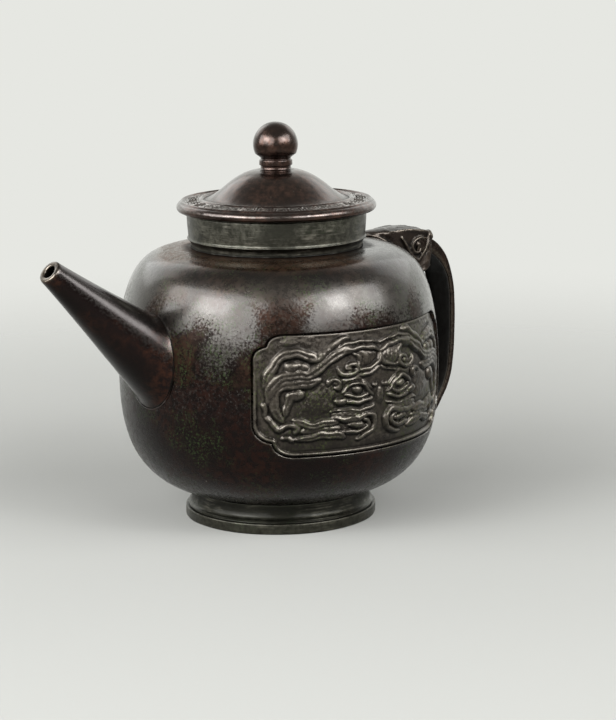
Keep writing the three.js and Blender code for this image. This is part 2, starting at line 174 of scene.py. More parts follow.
def pale_rays(tree):
    """1 for rays that should meet the pale room: from the camera, by mirroring or through glass"""
    path = add_node(tree, "LightPath").outputs
    seen = maths(tree, "MAXIMUM", path["Is Camera Ray"], path["Is Glossy Ray"])
    return maths(tree, "MAXIMUM", seen, path["Is Transmission Ray"])


scene.view_settings.view_transform = "Standard"
world = bpy.data.worlds.new("pale_room")
scene.world = world
sky = fresh_tree(world)
ambient = add_node(sky, "Background", {"Color": linear(ROOM_COLOUR), "Strength": ROOM_LIGHT})
turned_view = add_node(sky, "Mapping", {"Vector": add_node(sky, "TexCoord").outputs["Generated"],
                                        "Rotation": (0, 0, -CAMERA_AZIMUTH)}, vector_type="VECTOR")
heading = add_node(sky, "SeparateXYZ", {0: turned_view.outputs[0]}).outputs
walls = blend(sky, ramp(sky, heading["Y"], *BACKDROP), FRONT_COLOUR, ROOM_COLOUR)
walls = blend(sky, ramp(sky, heading["Z"], *CEILING), walls, CEILING_COLOUR)
walls = blend(sky, add_node(sky, "LightPath").outputs["Is Camera Ray"], walls, ROOM_COLOUR)
backdrop = add_node(sky, "Background", {"Color": walls, "Strength": 1})
room = add_node(sky, "MixShader", {0: pale_rays(sky), 1: ambient.outputs[0], 2: backdrop.outputs[0]})
add_node(sky, "OutputWorld", {"Surface": room.outputs[0]})

# %% Ground
GROUND_SIZE = 1.6  # metres from the middle to an edge
FADE_START, FADE_END = 0.05, 0.36
BOARD_COLOUR = "#d2d3cf"


def add_object(name, bm):
    """Turns a bmesh into an object of the scene"""
    mesh = bpy.data.meshes.new(name)
    bm.to_mesh(mesh)
    bm.free()
    thing = bpy.data.objects.new(name, mesh)
    scene.collection.objects.link(thing)
    return thing


ground_bm = bmesh.new()
bmesh.ops.create_grid(ground_bm, x_segments=1, y_segments=1, size=GROUND_SIZE)
ground = add_object("ground", ground_bm)
paper = bpy.data.materials.new("pale matt board")
tree = fresh_tree(paper)
place_on_ground = add_node(tree, "TexCoord").outputs["Object"]
from_middle = add_node(tree, "VectorMath", {0: place_on_ground}, operation="LENGTH").outputs["Value"]
fade = ramp(tree, from_middle, FADE_START, FADE_END, smooth=True)
board = add_node(tree, "BsdfDiffuse", {"Color": linear(BOARD_COLOUR)})
clear = add_node(tree, "BsdfTransparent")
faded = add_node(tree, "MixShader", {0: fade, 1: board.outputs[0], 2: clear.outputs[0]})
add_node(tree, "OutputMaterial", {"Surface": faded.outputs[0]})
ground.data.materials.append(paper)


# %% Soft boxes
LIT_HEIGHT = 0.04  # metres, the middle of the pot, at which the lamps point


def soft_box(name, side, rise, distance, size, watts):
    """An area lamp seen from the pot at side degrees from the camera's direction and rise degrees up"""
    lamp = bpy.data.lights.new(name, "AREA")
    lamp.shape = "RECTANGLE"
    lamp.size, lamp.size_y = size
    lamp.energy = watts
    holder = bpy.data.objects.new(name, lamp)
    scene.collection.objects.link(holder)
    to_lamp = Matrix.Rotation(math.radians(side), 4, "Z") @ Vector((0, -1, 0))
    to_lamp = to_lamp * math.cos(math.radians(rise)) + Vector((0, 0, math.sin(math.radians(rise))))
    to_lamp = CAMERA_TURN @ to_lamp
    middle = Vector((AXIS_X, 0, LIT_HEIGHT))
    turn = to_lamp.to_track_quat("Z", "Y").to_matrix().to_4x4()
    holder.matrix_world = Matrix.Translation(middle + to_lamp * distance) @ turn


# Degrees to the side and up, distance and size in metres, watts
soft_box("left_window", -53, 26, 0.75, (1.2, 0.52), 6.3)
soft_box("left_sky", -50, 28, 0.74, (0.34, 0.22), 1.3)
soft_box("right_window", 54, 31, 0.75, (0.9, 0.4), 3.8)
soft_box("right_sky", 50, 31, 0.74, (0.2, 0.18), 0.75)
soft_box("left_wall", -140, 30, 0.8, (0.5, 0.4), 0.5)
soft_box("right_wall", 140, 30, 0.8, (0.5, 0.4), 0.3)


# %% [markdown]
# ## Patina
# All the pieces are cast bronze under a patina: oxides and sulphides that years of handling and wax
# have turned into a thin, dark, glossy skin. Chestnut shows where it is thin, verdigris where damp
# stayed, and the bare metal where fingers and cloth rub the edges. What faces up is polished and
# mirrors the windows, and what faces down is darkened with painted shade. One function builds such a
# skin, and each finish gives it its own colours. The pattern sizes are real ones: blotches of some
# centimetres, specks under a millimetre. Each mesh carries attributes that the skin reads: bend,
# measured from its own edges and hollows, upward, measured from its normals, and sheltered, where no
# cloth reaches. Hollows are darkened with dirt and painted shade, and bend also takes each piece's own
# marks of wear, of dirt and of painted light.

# %% Patina parts
DIRT_AND_SHADE = "#0c0b09"  # old wax and dust that no cloth reaches, also laid as painted shade in hollows and on what faces down
NICK = "#6f6a62"  # metal that a small knock laid bare


def cloud(tree, where, size, detail, roughness=0.5):
    """Noise with lumps of about size mm"""
    return add_node(tree, "TexNoise", {"Vector": where, "Scale": 1 / (size * MM), "Detail": detail,
                                       "Roughness": roughness}).outputs["Fac"]


def patch(tree, where, size, low, high, detail=4.0, roughness=0.6, shift=0.0):
    """0 to 1 in patches of noise about size mm across, with low and high as its limits"""
    moved = add_node(tree, "Mapping", {"Vector": where, "Location": (shift, shift, shift)}).outputs[0]
    return ramp(tree, cloud(tree, moved, size, detail, roughness), low, high, smooth=True)


def round_the_pot(tree, where):
    """Places squeezed along Z, so that noise on them runs round the pot like lathe and cloth marks"""
    return add_node(tree, "Mapping", {"Vector": where, "Scale": (1, 1, 9)}).outputs[0]


def polish(tree, where, upward, sheltered):
    """1 where cloth and wax reach. It ends in a fringe of fine specks, since they miss the pits."""
    pits = patch(tree, where, 0.5, 0.3, 0.7, detail=5, roughness=0.75, shift=0.63)
    fringe = maths(tree, "MULTIPLY_ADD", pits, 0.34, maths(tree, "SUBTRACT", upward, sheltered))
    return ramp(tree, fringe, 0.2, 0.36, smooth=True)


def rub_over(tree, where, colour, share, rubbed, dark):
    """Blends in the rubbed colour by a share and leaves small dark pits"""
    colour = blend(tree, share, colour, rubbed)
    pitted = patch(tree, where, 0.6, 0.54, 0.68, detail=4, roughness=0.8, shift=0.29)
    return blend(tree, times(tree, pitted, 0.4), colour, dark)


def nicks(tree, where):
    """1 in a few tiny round nicks"""
    cell = add_node(tree, "TexVoronoi", {"Vector": where, "Scale": 1 / (2.6 * MM)}, feature="F1").outputs
    chance = add_node(tree, "SeparateColor", {0: cell["Color"]}).outputs[0]
    return times(tree, maths(tree, "GREATER_THAN", chance, 0.9),
                 maths(tree, "LESS_THAN", cell["Distance"], 0.07))


def uneven(tree, where, grain, streaks):
    """The normal of the cast skin, with lathe marks on a streaked one"""
    height = maths(tree, "MULTIPLY_ADD", cloud(tree, where, 3.5, 2), 1.6, cloud(tree, where, 0.45, 5, 0.65))
    bump = add_node(tree, "Bump", {"Height": height, "Strength": grain, "Distance": 0.12 * MM}).outputs[0]
    if streaks:
        lines = cloud(tree, round_the_pot(tree, where), 3, 3)
        bump = add_node(tree, "Bump", {"Height": lines, "Strength": streaks, "Distance": 0.1 * MM,
                                       "Normal": bump}).outputs[0]
    return bump


# %% Patina
METALLIC = 0.9
WAX_ROUGHNESS = 0.17


def patina(name, dark, chestnut, verdigris, bare, green_share, wear_share, sheen_range,
           streaks=0.0, grain=0.25, rubbed=None, waxed=0.3, underside_shade=0.6, blotches=(0.36, 0.66), thin=None):
    """A waxed patina on cast bronze. Shares run from 0 to 1. rubbed is the colour of what cloth and wax
    reach, and thin the colour of the matt skin in sheltered places. What faces down is darkened with
    painted shade by the share given for it, and hollows with dirt and painted shade."""
    material = bpy.data.materials.new(name)
    tree = fresh_tree(material)
    where = add_node(tree, "TexCoord").outputs["Object"]
    bend, upward, sheltered = (add_node(tree, "Attribute", attribute_name=layer).outputs["Fac"]
                               for layer in ("bend", "upward", "sheltered"))
    wear_and_painted_light = ramp(tree, bend, 0.12, 0.75)
    hollow = ramp(tree, bend, -0.08, -0.6)
    polished = polish(tree, where, upward, sheltered)
    blotch = patch(tree, where, 14, *blotches)
    mottle = patch(tree, where, 1.5, 0.38, 0.64, detail=6, roughness=0.7, shift=0.31)
    damp = patch(tree, where, 9, 0.62 - 0.2 * green_share, 0.78 - 0.2 * green_share, shift=0.53)
    speck = patch(tree, where, 0.55, 0.5, 0.66, detail=3, roughness=0.8, shift=0.77)
    green = times(tree, damp, speck, 0.9)

    colour = blend(tree, times(tree, blotch, mottle), dark, chestnut)
    if rubbed:
        slope = ramp(tree, upward, 0.9, 0.6)
        bright = ramp(tree, blotch, 0, 1, 1, 0.45)
        colour = rub_over(tree, where, colour, times(tree, polished, slope, bright), rubbed, dark)
    if thin:
        brown = times(tree, ramp(tree, sheltered, 0.12, 1), ramp(tree, mottle, 0, 1, 0.55))
        colour = blend(tree, brown, colour, thin)
    colour = blend(tree, green, colour, verdigris)
    # Painted shade: what faces down is darkened towards near-black
    colour = blend(tree, times(tree, ramp(tree, upward, 0, -0.6), underside_shade), colour, DIRT_AND_SHADE)
    # Dirt and painted shade darken the hollows
    colour = blend(tree, times(tree, hollow, 0.88), colour, DIRT_AND_SHADE)
    rub = times(tree, wear_and_painted_light, patch(tree, where, 0.9, 0.3, 0.6, shift=0.17), wear_share,
                ramp(tree, upward, -0.5, 0.2, 0.15))
    colour = blend(tree, rub, colour, bare)
    if streaks:
        stain = times(tree, patch(tree, round_the_pot(tree, where), 4, 0.45, 0.75, shift=0.43),
                      patch(tree, where, 5, 0.4, 0.7), streaks)
        colour = blend(tree, stain, colour, bare)
    colour = blend(tree, times(tree, nicks(tree, where), 0.75), colour, NICK)

    gloss = ramp(tree, mottle, 0, 1, *sheen_range)
    dull = maths(tree, "MULTIPLY_ADD", green, 0.3, gloss)
    dull = maths(tree, "MULTIPLY_ADD", hollow, 0.35, dull, clamp=True)
    waxable = times(tree, polished, ramp(tree, hollow, 0, 1, 1, 0.1))
    skin = add_node(tree, "BsdfPrincipled", {"Base Color": colour, "Metallic": METALLIC,
                                             "Roughness": dull,
                                             "Normal": uneven(tree, where, grain, streaks),
                                             "Coat Weight": ramp(tree, waxable, 0, 1, 0.05, waxed),
                                             "Coat Roughness": WAX_ROUGHNESS})
    add_node(tree, "OutputMaterial", {"Surface": skin.outputs[0]})
    return material


# %% [markdown]
# The body and spout were fumed to a dark brown and waxed; the brown is what copper oxide gives, and
# it shows thin and matt round the neck. The neck and foot are rubbed thinner and greyer, the lid is
# redder from handling, and the panels hold green dirt between bands that shine where they stick out.
# The head and handle are sooty, and the hidden pieces are raw castings.

# %% Finishes
body_patina = patina("fumed and waxed dark bronze", "#1b1413", "#301b15", "#3c4a2c", "#8d8577",
                     green_share=0.8, wear_share=0.3, sheen_range=(0.22, 0.36), rubbed="#504d49",
                     waxed=0.95, underside_shade=0.25, blotches=(0.42, 0.66), grain=0.32, thin="#7a5c49")
spout_patina = patina("waxed dark bronze", "#221918", "#4c2f24", "#3c4a2c", "#9a8f80",
                      green_share=0.3, wear_share=0.8, sheen_range=(0.16, 0.26), rubbed="#484443",
                      waxed=0.65, underside_shade=0.7, blotches=(0.4, 0.62))
neck_patina = patina("rubbed olive bronze", "#3f3f38", "#69685e", "#3a4432", "#bab6a8",
                     green_share=0.6, wear_share=0.6, sheen_range=(0.34, 0.48), streaks=0.5,
                     blotches=(0.34, 0.6))
foot_patina = patina("damp stained olive bronze", "#2a2a23", "#403f36", "#34402a", "#a09c8d",
                     green_share=0.8, wear_share=0.55, sheen_range=(0.3, 0.45), streaks=0.35)
lid_patina = patina("handled red brown bronze", "#3f332e", "#6a5045", "#2f382b", "#b4afaa",
                    green_share=0.15, wear_share=0.75, sheen_range=(0.13, 0.25), waxed=0.8)
relief_patina = patina("relief bronze with verdigris", "#38332f", "#5c554d", "#5a633e", "#8f897d",
                       green_share=0.9, wear_share=0.3, sheen_range=(0.26, 0.4), rubbed="#645e57",
                       waxed=0.4, underside_shade=0.9, blotches=(0.4, 0.6))
head_patina = patina("handled dark bronze", "#38302c", "#4a3d34", "#2c3524", "#a09686",
                     green_share=0.2, wear_share=0.3, sheen_range=(0.26, 0.4), rubbed="#5c554e",
                     waxed=0.5, underside_shade=0.5)
handle_patina = patina("sooty dark bronze", "#2a221e", "#3c2c24", "#2c3524", "#857c6e",
                       green_share=0.2, wear_share=0.5, sheen_range=(0.22, 0.38), rubbed="#544a40",
                       waxed=0.5)
inner_bronze = patina("raw cast bronze", "#4f4230", "#6a5436", "#4a5a40", "#a08a62",
                      green_share=0.4, wear_share=0.4, sheen_range=(0.5, 0.65))


# %% [markdown]
# ## Helpers for round work
# Most pieces were turned or cast round an axis. A profile of a few corners, each with its own small
# rounding, is spun about the axis. Cast bronze is never quite true, so a slight noise is pressed into
# the skin, inwards only, which keeps the piece inside its size.

# %% Profiles
ARC_STEPS = 4  # steps round a softened corner
WELD = 1e-4  # mm, points this near are one


def flow(points, steps=8):
    """A smooth curve through points, as an array"""
    points = np.array(points, float)
    ends = np.vstack([points[:1], points, points[-1:]])
    share = np.linspace(0, 1, steps, endpoint=False)[:, None]
    pieces = []
    for before, start, end, after in zip(ends, ends[1:], ends[2:], ends[3:]):
        pull, push = (end - before) / 2, (after - start) / 2
        pieces.append(start + share * pull
                      + share ** 2 * (3 * (end - start) - 2 * pull - push)
                      + share ** 3 * (2 * (start - end) + pull + push))
    return np.vstack(pieces + [points[-1:]])


def softened(corners):
    """A closed profile of (radius, height, rounding) corners with small arcs for corners"""
    points = []
    for index, (radius, height, rounding) in enumerate(corners):
        here = Vector((radius, height))
        to_last = Vector(corners[index - 1][:2]) - here
        to_next = Vector(corners[(index + 1) % len(corners)][:2]) - here
        if not rounding:
            points.append(here)
            continue
        start = here + to_last.normalized() * min(rounding, to_last.length / 2)
        end = here + to_next.normalized() * min(rounding, to_next.length / 2)
        for step in range(ARC_STEPS + 1):
            share = step / ARC_STEPS
            points.append(start.lerp(here, share).lerp(here.lerp(end, share), share))
    return points


def spaced(points, gap):
    """Adds points to a closed profile until no two stand further apart than gap"""
    result = []
    for here, following in zip(points, points[1:] + points[:1]):
        parts = max(1, math.ceil((following - here).length / gap))
        result += [here.lerp(following, part / parts) for part in range(parts)]
    return result


def outward(bm):
    """The mesh with all its faces turned outwards"""
    bmesh.ops.recalc_face_normals(bm, faces=bm.faces)
    return bm


def turned(points, steps, parts=1):
    """Spins a closed profile round the axis. Points on the axis become one pole. The spin welds its
    seam slowly, so a finely stepped piece is spun in fewer steps that are then cut into parts."""
    bm = bmesh.new()
    verts = [bm.verts.new((point.x, 0, point.y)) for point in points]
    edges = [bm.edges.new(pair) for pair in zip(verts, verts[1:] + verts[:1])]
    on_axis = [edge for edge in edges if all(vert.co.x < 1e-6 for vert in edge.verts)]
    for edge in on_axis:
        edges.remove(edge)
        bm.edges.remove(edge)
    bmesh.ops.spin(bm, geom=verts + edges, cent=(0, 0, 0), axis=(0, 0, 1), dvec=(0, 0, 0),
                   angle=math.tau, steps=steps // parts, use_merge=True)
    bmesh.ops.remove_doubles(bm, verts=bm.verts, dist=WELD)
    if parts > 1:
        from_axis = bm.verts.layers.float.new("from_axis")
        for vert in bm.verts:
            vert[from_axis] = vert.co.xy.length
        hoops = [edge for edge in bm.edges if round_the_axis(*edge.verts)]
        bmesh.ops.subdivide_edges(bm, edges=hoops, cuts=parts - 1, use_grid_fill=True)
        for vert in bm.verts:
            if vert[from_axis] > 0:
                vert.co.xy *= vert[from_axis] / vert.co.xy.length
    return outward(bm)


def round_the_axis(first, second):
    """True for the ends of an edge that runs level round the axis"""
    level = abs(first.co.z - second.co.z) < WELD
    return level and abs(first.co.xy.length - second.co.xy.length) < WELD


def between(value, stops, levels):
    """The level at a value, in line between the levels at some stops"""
    return float(np.interp(value, stops, levels))


def press(bm, depth, size, seed):
    """Presses a soft noise of the given depth and size in mm into the skin"""
    bm.normal_update()
    shift = Vector((seed, 2 * seed, 3 * seed))
    moves = [0.5 + 0.5 * noise.noise(vert.co / size + shift) for vert in bm.verts]
    for vert, move in zip(bm.verts, moves):
        vert.co -= vert.normal * depth * move


# %% Finishing a piece
BEND_SCALE = 1.6  # bend of an edge of about 0.6 mm radius counts as fully worn
BEND_SMOOTHING = 3
SHARP = math.radians(50)  # a steeper crease stays sharp


def values_of(items, name, width=1, kind=float):
    """A row of values for each item of a mesh"""
    values = np.empty(width * len(items), kind)
    items.foreach_get(name, values)
    return values.reshape(-1, width)


def measure_skin(mesh, rubbing):
    """Writes how much the skin bends outwards and how far it faces up, both from about -1 to 1.
    rubbing says how much of the outward bend is worn: a share, or a function of height in mm. The
    mesh's own marks are added where it has them: wear and painted highlight above 0, dirt and painted
    shade below it."""
    count = len(mesh.vertices)
    spots = values_of(mesh.vertices, "co", 3) / MM
    normals = values_of(mesh.vertex_normals, "vector", 3)
    first, second = values_of(mesh.edges, "vertices", 2, int).T

    def around(values):
        return np.bincount(first, values[second], count) + np.bincount(second, values[first], count)

    joined = np.maximum(around(np.ones(count)), 1)
    span = ((spots[first] - spots[second]) ** 2).sum(1)
    reach = np.bincount(first, span, count) + np.bincount(second, span, count)
    middle = np.stack([around(spots[:, axis]) for axis in range(3)], 1) / joined[:, None]
    bulge = 2 * ((spots - middle) * normals).sum(1) * joined / np.maximum(reach, 1e-9)
    bend = np.clip(bulge / BEND_SCALE, -1, 1)
    for _ in range(BEND_SMOOTHING):
        bend = 0.5 * bend + 0.5 * around(bend) / joined
    share = rubbing(spots[:, 2]) if callable(rubbing) else rubbing
    bend = np.where(bend > 0, bend * share, bend)
    if "wear_and_painted_light" in mesh.attributes:
        bend = bend + values_of(mesh.attributes["wear_and_painted_light"].data, "value")[:, 0]
    for name, values in (("bend", bend), ("upward", normals[:, 2].copy())):
        mesh.attributes.new(name, "FLOAT", "POINT").data.foreach_set("value", values)


def finish_piece(name, bm, material, body, nodes, rubbing=1):
    """Brings a bmesh in millimetres to its place as an object that rides on a body"""
    bmesh.ops.transform(bm, matrix=TO_PLACE, verts=bm.verts)
    piece = add_object(name, bm)
    mesh = piece.data
    mesh.shade_smooth()
    mesh.set_sharp_from_angle(angle=SHARP)
    measure_skin(mesh, rubbing)
    mesh.materials.append(material)
    if nodes:
        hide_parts(*nodes)
    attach(piece, body)
    print(name, "has", len(mesh.polygons), "faces")


# %% [markdown]
# ## Body
# The body is a hollow casting, widest at the belt, with a square shoulder above and a rounder belly
# below. Both halves are superellipses. A pocket is sunk into each side for a relief panel. Cutting
# it with a boolean would leave slivers in a smooth skin, so the mesh is made finer along the
# pocket's edge and its points are moved in.

# %% Body outline
BODY_RADIUS = 36.05
BELT = 36.2
SHOULDER_RISE = 25.0
SHOULDER_OUT, SHOULDER_UP = 8.9, 1.85
BELLY_POLE = 31.15
BELLY_OUT, BELLY_UP = 3.54, 3.09
UNDERSIDE = 5.6
BODY_WALL = 3.2
NECK_SEAT = 61.15
NECK_BORE = 17.4
NECK_BAND = 19.1
CORE_HOLE = 12.4


def body_radius(height):
    """Outer radius of the body at one or many heights"""
    over = np.clip((height - BELT) / SHOULDER_RISE, 0, 1) ** SHOULDER_UP
    under = np.clip((BELT - height) / BELLY_POLE, 0, 1) ** BELLY_UP
    return BODY_RADIUS * np.where(height > BELT, (1 - over) ** (1 / SHOULDER_OUT),
                                  (1 - under) ** (1 / BELLY_OUT))


def walked_along(line):
    """The distance walked from a line's start to each of its points"""
    return np.concatenate([[0], np.cumsum(np.hypot(*np.diff(line, axis=0).T))])


def at_stops(line, walked, stops):
    """The points of a line at some walked distances"""
    return np.stack([np.interp(stops, walked, line[:, axis]) for axis in (0, 1)], 1)


def body_curve(inset, gap):
    """The body's side from the neck down to the flat underside, inset into the wall"""
    angle = np.linspace(0, math.pi / 2, 400)
    radius = BODY_RADIUS - inset
    shoulder = np.stack([radius * np.cos(angle) ** (2 / SHOULDER_OUT),
                         BELT + (SHOULDER_RISE - inset) * np.sin(angle) ** (2 / SHOULDER_UP)], 1)
    belly = np.stack([radius * np.cos(angle) ** (2 / BELLY_OUT),
                      BELT - (BELLY_POLE - inset) * np.sin(angle) ** (2 / BELLY_UP)], 1)
    line = np.vstack([shoulder[::-1], belly[1:]])
    walked = walked_along(line)
    return at_stops(line, walked, np.arange(0, walked[-1], gap))


# %% [markdown]
# The panels are laid out on the unrolled side: u runs round the body from the panel's middle and v
# runs up. The panel's corners are notched, two short curves that meet in a point, as on many
# bronze and porcelain panels.

# %% Panel outline
PANEL_MIDDLE = 33.95
PANEL_HALF_WIDTH = 26.4  # seen straight on
PANEL_HALF_HEIGHT = 13.35
UPPER_CORNER, LOWER_CORNER = 5.4, 7.2
CUSP, CORNER_BEND = 0.45, 0.05
SEAT_DEPTH = 2.2
FIELD_SINK = 0.9
PANEL_BACK = 1.9
SEAM = 0.07


def panel_outline():
    """The pocket's outline as (u, v) points"""
    points = []
    for across, upward in ((1, -1), (1, 1), (-1, 1), (-1, -1)):
        size = UPPER_CORNER if upward > 0 else LOWER_CORNER
        corner = []
        for curve in (((1, 0), (1 - CUSP, CORNER_BEND), (CUSP, CUSP)),
                      ((CUSP, CUSP), (CORNER_BEND, 1 - CUSP), (0, 1))):
            start, pull, end = (Vector(point) for point in curve)
            corner += [start.lerp(pull, share).lerp(pull.lerp(end, share), share)
                       for share in np.linspace(0, 1, 7)]
        if across * upward > 0:
            corner.reverse()
        for point in corner:
            side = across * (PANEL_HALF_WIDTH - point.x * size)
            level = upward * (PANEL_HALF_HEIGHT - point.y * size)
            radius = float(body_radius(PANEL_MIDDLE + level))
            points.append((BODY_RADIUS * math.asin(side / radius), level))
    return np.array(points)


OUTLINE = panel_outline()


def nearest_on_line(spots, line):
    """Distance of each spot from a line of points, the place nearest to it and its share along"""
    best = np.full(len(spots), 1e9)
    place = np.zeros_like(spots)
    share = np.zeros(len(spots))
    lengths = np.hypot(*np.diff(line, axis=0).T)
    walked = 0
    for start, end, length in zip(line, line[1:], lengths):
        if length < 1e-6:
            continue
        along = np.clip((spots - start) @ (end - start) / length ** 2, 0, 1)
        foot = start + along[:, None] * (end - start)
        gap = np.hypot(*(spots - foot).T)
        closer = gap < best
        best[closer] = gap[closer]
        place[closer] = foot[closer]
        share[closer] = (walked + along[closer] * length) / lengths.sum()
        walked += length
    return best, place, share


def outside_panel(spots):
    """Distance of each (u, v) spot from the outline, negative inside, and the nearest edge place"""
    ring = np.vstack([OUTLINE, OUTLINE[:1]])
    gap, place, _ = nearest_on_line(spots, ring)
    inside = np.zeros(len(spots), bool)
    for (u, v), (next_u, next_v) in zip(ring, ring[1:]):
        if v != next_v:
            crosses = (v > spots[:, 1]) != (next_v > spots[:, 1])
            inside ^= crosses & (spots[:, 0] < (next_u - u) * (spots[:, 1] - v) / (next_v - v) + u)
    return np.where(inside, -gap, gap), place


print("panel outline has", len(OUTLINE), "points")


# %% Body mesh
BODY_STEPS = 224
BODY_GAP, INNER_GAP = 1.0, 2.5  # from point to point down the outer and the inner side
REFINED = (2.4, 1.3, 0.75)  # the mesh is halved this near the pocket's edge, time after time
SNAP = 0.055  # points this near are put on the edge
SKIN_DEPTH, SIDE_REACH = 1, 18  # how deep and how far up and down the side is looked for
# How deep the skin drops at some distances from the edge, which are negative inside
DROP_PLACES = (-0.5, -0.12, 0, 0.12, 0.3)
DROPS = (SEAT_DEPTH, 1, 0.12, 0.02, 0)
LIP_RISE = 0.14  # the pocket's lower lip stands a little proud
LIP_PLACE, LIP_WIDTH = 0.35, 0.4
NECK_GAP = 0.3  # from the neck's set-back band out to the body's own skin


def side_spots(bm):
    """Where each outer point of the body's side lies on the unrolled side"""
    bm.verts.ensure_lookup_table()
    spots = np.array([vert.co for vert in bm.verts])
    radius = np.hypot(spots[:, 0], spots[:, 1])
    level = spots[:, 2] - PANEL_MIDDLE
    outer = (radius > body_radius(spots[:, 2]) - SKIN_DEPTH) & (np.abs(level) < SIDE_REACH)
    flat = np.stack([BODY_RADIUS * np.arctan2(spots[:, 0], np.abs(spots[:, 1])), level], 1)
    return flat, outer


def body_profile():
    """The closed section of the wall: down its outside, round the core hole and up its inside"""
    outer = [point for point in body_curve(0, BODY_GAP)
             if (point[0] > NECK_BAND + NECK_GAP if point[1] > BELT else point[1] > UNDERSIDE)]
    inner = [point for point in body_curve(BODY_WALL, INNER_GAP)
             if point[0] > (NECK_BORE if point[1] > BELT else CORE_HOLE)]
    low = [(float(body_radius(UNDERSIDE)), UNDERSIDE), (CORE_HOLE, UNDERSIDE),
           (CORE_HOLE, UNDERSIDE + BODY_WALL)]
    high = [(NECK_BORE, NECK_SEAT - BODY_WALL), (NECK_BORE, NECK_SEAT), (NECK_BAND + NECK_GAP, NECK_SEAT)]
    return [Vector(point) for point in outer + low + inner[::-1] + high]


def sink_pockets(bm):
    """Makes the skin finer along the pockets' edges and moves its points in"""
    for reach in REFINED:
        flat, outer_skin = side_spots(bm)
        gap, _ = outside_panel(flat)
        near = outer_skin & (np.abs(gap) < reach)
        edges = [edge for edge in bm.edges if all(near[vert.index] for vert in edge.verts)]
        bmesh.ops.subdivide_edges(bm, edges=edges, cuts=1, use_grid_fill=True)
    flat, outer_skin = side_spots(bm)
    gap, place = outside_panel(flat)
    snapped = outer_skin & (np.abs(gap) < SNAP)
    flat[snapped] = place[snapped]
    gap[snapped] = 0
    drop = np.interp(gap, DROP_PLACES, DROPS)
    lower = np.interp(flat[:, 1], [-12, -5], [1, 0])
    drop -= LIP_RISE * lower * np.clip(1 - ((gap - LIP_PLACE) / LIP_WIDTH) ** 2, 0, 1)
    turn = flat[:, 0] / BODY_RADIUS
    height = PANEL_MIDDLE + flat[:, 1]
    radius = body_radius(height) - drop
    facing = np.where([vert.co.y > 0 for vert in bm.verts], 1, -1)
    moved = np.stack([radius * np.sin(turn), facing * radius * np.cos(turn), height], 1)
    for index in np.flatnonzero(outer_skin & (gap < 1)):
        bm.verts[index].co = moved[index]


# %% What the polishing cloth misses
MISSED_SIZE = 8  # mm, patches of the shoulder
MISSED_SHIFT = Vector((237.91, 475.82, 713.73))
# Matt band round the neck: distances from it in mm, and how sheltered they are
BAND_PLACES, BAND_LEVELS = (1, 7, 10.5), (1, 0.9, 0)
BAND_WAVER, BAND_WAVER_SIZE = 1.5, 7


def mark_shoulder(bm):
    """Marks the missed patches, the matt band round the neck, and dirt and painted shade in the neck's
    corner
    """
    wear_and_painted_light = bm.verts.layers.float.new("wear_and_painted_light")
    sheltered = bm.verts.layers.float.new("sheltered")
    for vert in bm.verts:
        if vert.co.z < BELT:
            continue
        missed = noise.noise(vert.co / MISSED_SIZE + MISSED_SHIFT)
        vert[sheltered] = between(missed, [-0.2, 0.3], [0, 0.22])
        if vert.co.z > NECK_SEAT - 4:
            from_neck = vert.co.xy.length + BAND_WAVER * noise.noise(vert.co / BAND_WAVER_SIZE) - NECK_BAND
            # Dirt and painted shade darken the corner at the neck's foot
            vert[wear_and_painted_light] = between(from_neck, [1.2, 2.6], [-0.5, 0])
            band = between(from_neck, BAND_PLACES, BAND_LEVELS)
            band *= between(vert.co.x, [0, 8], [1, 0.15])
            vert[sheltered] = max(vert[sheltered], band)


body_bm = turned(body_profile(), BODY_STEPS, 4)
sink_pockets(body_bm)
mark_shoulder(body_bm)
press(body_bm, 0.2, 12, 3.1)


def lower_lip(height):
    """Wear on the edges, full along the pocket's lower lip and little at its top: partly wear, partly a
    painted highlight on the lower lip
    """
    return np.interp(height, [30, 38], [1, 0.1])


finish_piece("body", body_bm, body_patina, "pot", ["body_shell"], rubbing=lower_lip)

# %% [markdown]
# ## Relief panels
# Each panel is a plate cast with a beast mask in low relief, the old mask motif of ritual bronzes:
# mane bands that sweep up to a leaf crest, round eyes, and a hooked mouth. The plate is a fine grid
# laid on the body's curve. Every band of the relief is a rounded ridge along a line, the widest ones
# parted into two strands, and the field between them stays low.

